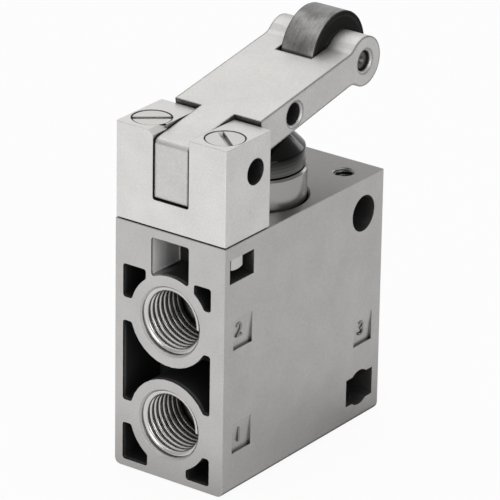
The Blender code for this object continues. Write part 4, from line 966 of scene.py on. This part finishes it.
@dataclass
class Housing:
    """The die-cast housing with its threaded ports and port numbers."""

    side: float = 12.5 * MM
    edge_rounding: float = 0.12 * MM
    port_wall: float = 6.62 * MM
    thread_crest: float = 5.72 * MM
    thread_pitch: float = 1.337 * MM
    thread_start: float = 0.75 * MM
    thread_length: float = 11.2 * MM
    thread_foot: float = 0.47
    crest_width: float = 0.02
    tapped_wall: float = 2.02 * MM
    tapped_crest: float = 1.7 * MM
    tapped_pitch: float = 0.8 * MM
    tapped_start: float = 0.45 * MM
    tapped_length: float = 5.0 * MM
    digit_size: float = 1.42 * 2.9 * MM
    digit_depth: float = 0.28 * MM
    digit_sink: float = 0.05 * MM
    digit_thinning: float = 0.012 * MM
    digit_edge: float = 0.03 * MM
    ports: dict[str, tuple[Axis, float]] = field(default_factory=lambda: {
        "outlet": (Axis.FRONT, OUTLET_HEIGHT),
        "supply": (Axis.FRONT, SUPPLY_HEIGHT),
        "exhaust": (Axis.REAR, EXHAUST_HEIGHT)})
    digits: dict[str, tuple[float, float]] = field(default_factory=lambda: {
        "2": (-20.6 * MM, 32.35 * MM), "1": (-20.3 * MM, 11.0 * MM), "3": (18.7 * MM, 18.8 * MM)})

    def model_thread(self, name: str, wall: float, crest: float, pitch: float, length: float,
                     steps: int = 56) -> bpy.types.Object:
        """Model a thread that hangs down from height 0 inside a hole along +Z.

        Args:
            name: The piece's name.
            wall: The hole's radius, where the thread grows from.
            crest: The radius of the thread's crest.
            pitch: The rise of one turn.
            length: The threaded length.
            steps: Facets in each turn.

        Returns:
            The thread, on the Z axis.
        """
        deselect()
        bpy.ops.mesh.primitive_circle_add(vertices=16, radius=1.0, rotation=(math.pi / 2, 0, 0))
        piece = bpy.context.object
        piece.name = piece.data.name = name
        bpy.ops.object.transform_apply(location=False, rotation=True, scale=False)
        edit_all()
        bpy.ops.transform.resize(value=(wall - crest, 1, pitch * self.thread_foot),
                                 center_override=(0, 0, 0))
        bpy.ops.transform.translate(value=(wall, 0, 0))
        leave_edit()
        unmark(piece.data)
        for vertex in piece.data.vertices:
            vertex.select = vertex.co.x > wall + 10 * DOUBLES
        bpy.ops.object.mode_set(mode="EDIT")
        bpy.ops.mesh.select_mode(type="VERT")
        bpy.ops.transform.resize(value=(self.crest_width, 1, 1), center_override=(wall, 0, 0))
        leave_edit()
        apply_modifier(piece, "SCREW", {
            "screw_offset": -pitch, "iterations": max(1, round(length / pitch)), "steps": steps,
            "render_steps": steps, "use_merge_vertices": False})
        bpy.ops.object.mode_set(mode="EDIT")
        bpy.ops.mesh.select_mode(type="EDGE")
        bpy.ops.mesh.select_all(action="DESELECT")
        bpy.ops.mesh.select_non_manifold()
        bpy.ops.mesh.fill_holes(sides=0)
        leave_edit()
        return piece

    def set_thread(self, thread: bpy.types.Object, place: Point, axis: Axis,
                   material: bpy.types.Material) -> None:
        """Put a thread in its hole and dress it.

        Args:
            thread: The thread, on the Z axis.
            place: Where its start goes.
            axis: The direction that its hole opens in.
            material: The finish of the thread.
        """
        thread.rotation_euler = axis.value
        thread.location = place
        apply_place(thread)
        settle(tidy_mesh(thread, 60), Body.HOUSING, "housing_nickel", material)

    def build_threads(self) -> None:
        """Build the threads of the three ports and the two tapped holes."""
        # Painted shade: the port threads darken in their grooves and deeper into the ports.
        machined = TurnedMetal("thread_cut_metal", (0.60, 0.59, 0.575), 0.24, reach=1.6 * MM,
                               axis=Axis.FRONT, port_shade=(4.5 * MM, 14.0 * MM)).material()
        for name, (axis, height) in self.ports.items():
            thread = self.model_thread(f"{name}_port_thread", self.port_wall, self.thread_crest,
                                       self.thread_pitch, self.thread_length)
            outward = -1.0 if axis is Axis.FRONT else 1.0
            place = (0, outward * (HALF_DEPTH - self.thread_start), height)
            self.set_thread(thread, place, axis, machined)
        # The tapped threads' near-black colour is painted shade deep in their holes.
        tapped = TurnedMetal("tapped_hole_metal", (0.16, 0.16, 0.155), 0.32, reach=3.0 * MM,
                             hollow_limits=(0.6, 0.3)).material()
        for word, side in (("left", -1.0), ("right", 1.0)):
            thread = self.model_thread(f"tapped_hole_thread_{word}", self.tapped_wall,
                                       self.tapped_crest, self.tapped_pitch, self.tapped_length, 32)
            place = (side * TAPPED_OFFSET, TAPPED_PLACE, HOUSING_TOP - self.tapped_start)
            self.set_thread(thread, place, Axis.UP, tapped)

    def build_digits(self) -> None:
        """Build the raised port numbers in their recesses on the right side."""
        # The digits' darker nickel is painted shade on their strokes.
        material = CastNickel("port_number_nickel", colour=(0.30, 0.295, 0.29),
                              roughness=0.5).material()
        for digit, (y, z) in self.digits.items():
            deselect()
            bpy.ops.object.text_add(rotation=(math.pi / 2, 0, math.pi / 2))
            piece = bpy.context.object
            piece.name = f"port_number_{digit}"
            piece.data.body = digit
            piece.data.align_x = "CENTER"
            piece.data.align_y = "CENTER"
            piece.data.size = self.digit_size
            piece.data.extrude = self.digit_depth
            piece.data.offset = -self.digit_thinning
            piece.data.bevel_depth = self.digit_edge
            piece.location = (self.side - self.digit_depth - self.digit_sink, y, z)
            bpy.ops.object.convert(target="MESH")
            apply_place(piece)
            settle(tidy_mesh(piece), Body.HOUSING, "housing_nickel", material)

    def build(self) -> None:
        """Build and dress the housing."""
        shell = refine_node("valve_housing", "housing_casting", self.edge_rounding)
        settle(shell, Body.HOUSING, "housing_nickel",
               HousingNickel("housing_satin_nickel", shade_share=0.50).material(), "valve_housing")
        self.build_threads()
        self.build_digits()


@dataclass
class Bracket:
    """The slotted lever bracket with its screws and nuts."""

    edge_rounding: float = 0.14 * MM
    nut_rounding: float = 0.08 * MM
    head_radius: float = 3.75 * MM
    head_edge: float = 0.12 * MM
    shank_radius: float = 1.7 * MM
    shank_chamfer: float = 0.4 * MM
    slot_width: float = 1.2 * MM
    slot_depth: float = 0.8 * MM
    slot_turn: float = math.radians(39)
    # How much painted shade darkens each screw's slot.
    slot_shade: dict[str, float] = field(default_factory=lambda: {"left": 0.12, "right": 0.85})
    # The radius from which a screw head's rim turns darker.
    dark_rim_from: float = 3.52 * MM

    def build_screw(self, word: str, side: float) -> None:
        """Build one slotted countersunk screw.

        Args:
            word: Left or right.
            side: The sign of its x.
        """
        node = f"bracket_screw_{word}"
        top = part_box(node)[1].z
        middle, half_sizes = measure(node)
        depth = 2 * half_sizes[2]
        edge = self.head_edge
        neck = self.head_radius - self.shank_radius
        screw = turn_piece(f"slotted_screw_{word}", [
            (self.head_radius - edge, 0.0), (self.head_radius, -edge),
            (self.head_radius, -2 * edge), (self.shank_radius, -neck - 2 * edge),
            (self.shank_radius, self.shank_chamfer - depth),
            (self.shank_radius - self.shank_chamfer, -depth)],
            (middle.x, middle.y, top), steps=64)
        cut_box(screw, (middle.x, middle.y, top),
                (4 * self.head_radius, self.slot_width, 2 * self.slot_depth),
                -side * self.slot_turn)
        # Painted shade in each screw's slot, much stronger on the right screw, and a darker rim at
        # the head's edge.
        finish = TurnedMetal(f"screw_bright_steel_{word}", (0.68, 0.67, 0.65), 0.30,
                             (middle.x, middle.y, 0.0), pitch=0.18 * MM, reach=2.4 * MM,
                             hollow_limits=(0.62, 0.30), hollow_share=self.slot_shade[word],
                             dark_rim_from=self.dark_rim_from)
        settle(tidy_mesh(screw), Body.HOUSING, "screw_steel", finish.material(), node)

    def build_nut(self, word: str) -> None:
        """Build one hexagon nut.

        Args:
            word: Left or right.
        """
        node = f"bracket_nut_{word}"
        nut = refine_node(node, f"hexagon_nut_{word}", self.nut_rounding)
        middle, _ = measure(node)
        finish = TurnedMetal(f"nut_bright_steel_{word}", (0.66, 0.65, 0.62), 0.28,
                             (middle.x, middle.y, 0.0), pitch=0.2 * MM, reach=4.0 * MM)
        settle(nut, Body.HOUSING, "nut_steel", finish.material(), node)

    def build(self) -> None:
        """Build and dress the bracket, its screws and its nuts."""
        block = refine_node("lever_bracket", "slotted_bracket", self.edge_rounding)
        # The bracket's dark edge colour is painted shade along its edges; its crease shade darkens
        # creases and gaps.
        settle(block, Body.HOUSING, "bracket_nickel",
               CastNickel("bracket_satin_nickel", colour=(0.72, 0.71, 0.695), roughness=0.36,
                          edge_colour=(0.34, 0.335, 0.33), edge_share=0.85,
                          crease_shade_share=0.6).material(), "lever_bracket")
        for word, side in (("left", -1.0), ("right", 1.0)):
            self.build_screw(word, side)
            self.build_nut(word)


@dataclass
class Lever:
    """The cast lever with its pins, and the roller in its fork."""

    edge_rounding: float = 0.16 * MM
    pin_chamfer: float = 0.25 * MM
    drill_tip: float = 0.05 * MM
    drill_slope: float = 0.9
    roller_edge: float = 0.20 * MM
    roller_bore: float = 3.1 * MM
    bore_chamfer: float = 0.2 * MM
    recess: Limits = (4.6 * MM, 7.5 * MM)
    recess_slope: float = 0.2 * MM
    recess_depth: float = 0.18 * MM
    bush_bore: float = 2.0 * MM
    bush_radius: float = 2.9 * MM
    bush_chamfer: float = 0.15 * MM

    def build_pin(self, node: str, name: str, dimple: float) -> None:
        """Build a cross pin with centre-drilled ends.

        Args:
            node: The CAD node that it replaces.
            name: The piece's name.
            dimple: The radius of the centre drilling at its ends.
        """
        centre, (half, _, radius) = measure(node)
        edge = self.pin_chamfer
        profile = mirrored([(self.drill_tip, dimple * self.drill_slope - half), (dimple, -half),
                            (radius - edge, -half), (radius, edge - half)])
        pin = turn_piece(name, profile, tuple(centre), Axis.RIGHT, 64)
        finish = TurnedMetal(f"{name}_steel", (0.12, 0.118, 0.116), 0.30, tuple(centre), Axis.RIGHT)
        body = Body.HOUSING if node == "lever_pivot_pin" else Body.LEVER
        settle(pin, body, "pin_steel", finish.material(), node)

    def build_roller(self) -> None:
        """Build the roller, with faced sides and a shallow hub recess."""
        centre, (half, _, radius) = measure("roller")
        bore, chamfer, edge = self.roller_bore, self.bore_chamfer, self.roller_edge
        inner, outer = self.recess
        floor = self.recess_depth - half
        profile = mirrored([
            (bore + chamfer, -half), (inner, -half), (inner + self.recess_slope, floor),
            (outer - self.recess_slope, floor), (outer, -half), (radius - edge, -half),
            (radius - edge * 0.3, edge * 0.3 - half), (radius, edge - half)])
        profile += [(bore, half - chamfer), (bore, chamfer - half)]
        roller = turn_piece("dark_roller", profile, tuple(centre), Axis.RIGHT, 128, ring=True)
        finish = BrushedRoller("roller_brushed_dark_steel", half)
        settle(roller, Body.ROLLER, "roller_dark", finish.material(), "roller")

    def build_bush(self) -> None:
        """Build the bush in the roller's bore."""
        centre, _ = measure("roller")
        half = measure("roller_bushing")[1][0]
        bore, radius, chamfer = self.bush_bore, self.bush_radius, self.bush_chamfer
        profile = mirrored([(bore + chamfer, -half), (radius - chamfer, -half),
                            (radius, chamfer - half)])
        profile += [(bore, half - chamfer), (bore, chamfer - half)]
        bush = turn_piece("bronze_bush", profile, tuple(centre), Axis.RIGHT, 64, ring=True)
        bronze = TurnedMetal("bush_turned_bronze", (0.62, 0.42, 0.20), 0.3, tuple(centre),
                             Axis.RIGHT)
        settle(bush, Body.ROLLER, "bush_brass", bronze.material(), "roller_bushing")

    def build(self) -> None:
        """Build and dress the lever and what it carries."""
        arm = refine_node("roller_lever", "cast_lever", self.edge_rounding)
        # The lever's near-black edge colour is painted shade along its edges; its shade and crease
        # shade darken it near the roller and in creases.
        settle(arm, Body.LEVER, "lever_nickel",
               CastNickel("lever_satin_nickel", colour=(0.64, 0.631, 0.617), roughness=0.47,
                          edge_colour=(0.06, 0.06, 0.058), edge_share=1.0,
                          edge_width=0.60 * MM, edge_full=0.96, edge_breaks=0.2, shade_share=0.6,
                          shade_reach=10.0 * MM, crease_shade_share=0.6).material(),
               "roller_lever")
        self.build_pin("roller_pin", "drilled_roller_pin", 0.8 * MM)
        self.build_pin("lever_press_pin", "drilled_press_pin", 0.9 * MM)
        self.build_pin("lever_pivot_pin", "drilled_pivot_pin", 1.0 * MM)
        self.build_roller()
        self.build_bush()


@dataclass
class PlungerTop:
    """The bright sleeve and dark cap of the plunger."""

    steps: int = 144
    cap_radius: float = 9.7 * MM
    cap_seat: float = 56.0 * MM
    foot_edge: float = 0.12 * MM
    screw_radius: float = 5.0 * MM
    tip_radius: float = 3.94 * MM
    tip_rise: float = 0.35 * MM
    tip_point: float = 0.25 * MM
    tip_steps: int = 8
    socket_radius: float = 5.2 * MM
    socket_floor: float = 51.9 * MM
    land_radius: float = 8.6 * MM
    groove: tuple[float, float, float] = (9.2 * MM, 46.8 * MM, 45.2 * MM)
    skirt_bore: float = 8.7 * MM
    skirt_edge: float = 0.2 * MM
    web_foot: float = 51.3 * MM
    hub_radius: float = 4.8 * MM
    hub_foot: float = 48.8 * MM
    stem_bore: float = 3.2 * MM
    shade_full: float = 49.7 * MM

    def build_sleeve(self) -> None:
        """Build the sleeve, with its socket, web, hub and wiper groove."""
        radius = measure("plunger_sleeve")[1][0]
        low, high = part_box("plunger_sleeve")
        top, skirt = high.z, low.z
        edge = radius - self.cap_radius
        groove_radius, groove_top, groove_foot = self.groove
        profile = [
            (self.socket_radius, top), (self.land_radius, top), (radius - edge, top),
            (radius, top - edge), (radius, groove_top), (groove_radius, groove_top),
            (groove_radius, groove_foot), (radius, groove_foot), (radius, skirt + self.skirt_edge),
            (radius - self.skirt_edge, skirt), (self.skirt_bore, skirt),
            (self.skirt_bore, self.web_foot), (self.hub_radius, self.web_foot),
            (self.hub_radius, self.hub_foot), (self.stem_bore, self.hub_foot),
            (self.stem_bore, self.socket_floor), (self.socket_radius, self.socket_floor)]
        sleeve = turn_piece("bright_sleeve", profile, (0, 0, 0), Axis.UP, self.steps, ring=True)
        # Painted shade: the sleeve darkens towards its foot at the housing's top, and along its top
        # edge under the cap.
        finish = TurnedMetal("sleeve_polished_metal", (0.38, 0.376, 0.366), 0.20, pitch=0.10 * MM,
                             depth=0.0025 * MM, reach=9.0 * MM, hollow_limits=(0.40, 0.10),
                             hollow_share=0.62,
                             shade_bands=((self.socket_floor, self.shade_full),
                                         (top - 1.3 * edge, top - 0.8 * edge)))
        settle(sleeve, Body.PLUNGER, "plunger_bright", finish.material(), "plunger_sleeve")

    def build_cap(self) -> None:
        """Build the conical cap with its domed tip and rounded shoulder."""
        low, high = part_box("plunger_cap")
        top, radius, seat = high.z, self.cap_radius, self.cap_seat
        shoulder = top - self.tip_rise - (radius - self.tip_radius)
        dome = (self.tip_radius ** 2 + self.tip_rise ** 2) / (2 * self.tip_rise)
        profile = [(self.tip_point, top - 0.001 * MM)]
        for index in range(1, self.tip_steps + 1):
            angle = math.asin(self.tip_radius / dome) * index / self.tip_steps
            profile.append((dome * math.sin(angle), top - dome * (1 - math.cos(angle))))
        profile += [
            (radius - 0.25 * MM, shoulder + 0.25 * MM), (radius - 0.07 * MM, shoulder + 0.05 * MM),
            (radius, shoulder - 0.2 * MM), (radius, seat + self.foot_edge),
            (radius - self.foot_edge, seat), (self.screw_radius, seat), (self.screw_radius, low.z)]
        cap = turn_piece("dark_cap", profile, (0, 0, 0), Axis.UP, self.steps)
        finish = BlackFinish("cap_black_polish", (0.011, 0.011, 0.0108), 0.15, 1.0,
                             scuff=0.08, grain_depth=0.0012 * MM,
                             band_limits=(shoulder + 0.3 * MM, seat - 0.6 * MM))
        settle(cap, Body.PLUNGER, "cap_dark", finish.material(), "plunger_cap")

    def build(self) -> None:
        """Build and dress the plunger's visible pieces and its wiper."""
        self.build_sleeve()
        self.build_cap()
        repaint("plunger_wiper", SealRubber("wiper_rubber").material())


@dataclass
class InnerStack:
    """The pieces inside the housing: the springs, and CAD nodes with their own finishes."""

    brass: Sequence[str] = ("guide_bush", "stem_guide", "seat_insert")
    seals: Sequence[str] = ("stem_o_ring_upper", "stem_o_ring_lower", "guide_o_ring", "seat_o_ring",
                            "poppet_seal")

    def build_springs(self) -> None:
        """Build the springs, as copies of the joints' deforming nodes, on the housing."""
        wire = TurnedMetal("spring_wire_steel", (0.58, 0.58, 0.57), 0.33, pitch=0.3 * MM).material()
        for joint in frame["joints"]:
            for held in joint.get("deforming_nodes", ()):
                node = held["node"]
                spring = copy_node(node, f"{node}_coil")
                settle(spring, Body.HOUSING, "spring_steel", wire, node)
                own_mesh(spring)

    def build(self) -> None:
        """Build the springs and dress the other inner pieces."""
        self.build_springs()
        brass = TurnedMetal("inner_turned_brass", (0.70, 0.52, 0.24), 0.26).material()
        rubber = SealRubber("seal_rubber_skin").material()
        for nodes, material in ((self.brass, brass), (self.seals, rubber)):
            for node in nodes:
                repaint(node, material)
        repaint("poppet", TurnedMetal("poppet_turned_brass", (0.68, 0.50, 0.24), 0.3).material())
        repaint("valve_stem", TurnedMetal("stem_ground_steel", (0.64, 0.64, 0.64), 0.2,
                                          pitch=0.08 * MM).material())
        repaint("retaining_ring", BlackFinish("ring_black_phosphate", (0.04, 0.04, 0.042), 0.5,
                                              0.7).material())


@dataclass(frozen=True)
class Lamp:
    """One soft square lamp: its place and target, and its side, in metres, and its watts."""

    name: str
    place: Point
    target: Point
    size: float
    power: float


@dataclass
class Studio:
    """The camera, lamps, world and pale floor."""

    camera_place: Point = (0.45268, -0.62479, 0.36723)
    camera_turn: Point = (66.88957, -0.86629, 36.32075)
    lens: float = 323.11
    sensor: float = 36.0
    clip: Limits = (0.01, 20.0)
    lamps: Sequence[Lamp] = (
        Lamp("key_softbox", (-0.52, 0.28, 0.88), (0, 0, 0.06), 0.80, 1.05),
        Lamp("top_softbox", (0.12, -0.26, 0.95), (0, 0, 0.04), 1.10, 1.5),
        Lamp("front_fill", (0.14, -1.10, 0.20), (0, 0, 0.04), 0.60, 3.0),
        Lamp("rear_glint", (0.10, 1.00, 0.33), (0, 0, 0.06), 0.24, 0.5),
        Lamp("right_fill", (0.75, -0.25, 0.30), (0, 0, 0.04), 0.50, 1.90))
    white: tuple[float, float, float, float] = (1.0, 1.0, 1.0, 1.0)
    bright_side: Point = (-0.47, 0.42, 0.77)
    bright_limits: Limits = (-0.45, 0.95)
    floor_reach: float = 1.6
    floor_drop: float = 0.0002
    floor_seen: float = 0.93
    floor_mirrored: float = 0.95
    paints: Sequence[Colour] = ((0.80, 0.80, 0.80), (0.84, 0.84, 0.84))

    def add_camera(self) -> None:
        """Add the camera at the photograph's viewing angle."""
        data = bpy.data.cameras.new("studio_camera")
        data.lens = self.lens
        data.sensor_width = self.sensor
        data.clip_start, data.clip_end = self.clip
        camera = bpy.data.objects.new("studio_camera", data)
        camera.location = self.camera_place
        camera.rotation_euler = [math.radians(angle) for angle in self.camera_turn]
        bpy.context.scene.collection.objects.link(camera)
        bpy.context.scene.camera = camera

    def add_lamp(self, plan: Lamp) -> None:
        """Add one soft area lamp.

        Args:
            plan: What the lamp is and where it hangs.
        """
        data = bpy.data.lights.new(plan.name, "AREA")
        data.shape = "SQUARE"
        data.size = plan.size
        data.energy = plan.power
        lamp = bpy.data.objects.new(plan.name, data)
        lamp.location = plan.place
        way = Vector(plan.target) - Vector(plan.place)
        lamp.rotation_euler = way.to_track_quat("-Z", "Y").to_euler()
        bpy.context.scene.collection.objects.link(lamp)

    def white_share(self, graph: Graph, seen: float, mirrored_share: Number) -> Value:
        """Return how much of the white background a ray meets.

        Args:
            graph: The graph of the world or the floor.
            seen: The share for the camera's own rays, and for rays through glass.
            mirrored_share: The share for rays that metal mirrors.

        Returns:
            The share, from 0 to 1.
        """
        path = graph.node("ShaderNodeLightPath")
        direct = graph.value(path, "Is Camera Ray") + graph.value(path, "Is Transmission Ray")
        share = direct * seen + graph.value(path, "Is Glossy Ray") * mirrored_share
        return share.least(1.0)

    def set_world(self) -> None:
        """Set a pale world, white to the camera and softly graded in reflections."""
        world = bpy.data.worlds.new("studio_world")
        bpy.context.scene.world = world
        graph = Graph(world)
        coordinates = graph.node("ShaderNodeTexCoord")
        bright_side = tuple(Vector(self.bright_side).normalized())
        dot = graph.node("ShaderNodeVectorMath", {"operation": "DOT_PRODUCT"},
                         {0: coordinates.outputs["Generated"], 1: bright_side})
        facing = graph.value(dot, "Value").step(*self.bright_limits)
        graded = graph.node("ShaderNodeBackground", None,
                            {"Color": self.white, "Strength": 0.16 + 0.58 * facing})
        white = graph.node("ShaderNodeBackground", None, {"Color": self.white, "Strength": 1.0})
        share = self.white_share(graph, 1.0, 0.08 + 0.22 * facing)
        graph.close_mixed(share, graded, white, "ShaderNodeOutputWorld")

    def floor_material(self) -> bpy.types.Material:
        """Build the pale floor's material, which keeps the object's shadow.

        Returns:
            The material.
        """
        graph = Graph.of_material("pale_floor")
        x, y, _ = graph.place()
        away = (x * 0.8 + y * 0.6).step(-0.02, 0.03)
        paint = graph.blend(graph.noise(900.0, 3.0), *self.paints)
        lit = graph.node("ShaderNodeBsdfPrincipled", None, {
            "Base Color": paint, "Roughness": 1.0, "Specular IOR Level": 0.0})
        white = graph.node("ShaderNodeEmission", None, {"Color": self.white, "Strength": 1.0})
        share = self.white_share(graph, self.floor_seen, self.floor_mirrored * (1.0 - away))
        graph.close_mixed(share, lit, white, "ShaderNodeOutputMaterial")
        return graph.owner

    def build(self) -> None:
        """Build the studio."""
        self.add_camera()
        for plan in self.lamps:
            self.add_lamp(plan)
        self.set_world()
        deselect()
        bpy.ops.mesh.primitive_plane_add(size=2 * self.floor_reach,
                                         location=(0, 0, -self.floor_drop))
        floor = bpy.context.object
        floor.name = "pale_floor"
        apply_place(floor)
        floor.data.materials.append(self.floor_material())
        bpy.context.scene.view_settings.view_transform = "Standard"


def main() -> None:
    """Build the studio and every sub-assembly in order."""
    logging.basicConfig(level=logging.INFO, format="%(name)s %(message)s")
    for assembly in (Studio(), Housing(), Bracket(), Lever(), PlungerTop(), InnerStack()):
        LOG.info("building %s", type(assembly).__name__)
        assembly.build()


if __name__ == "__main__":
    main()
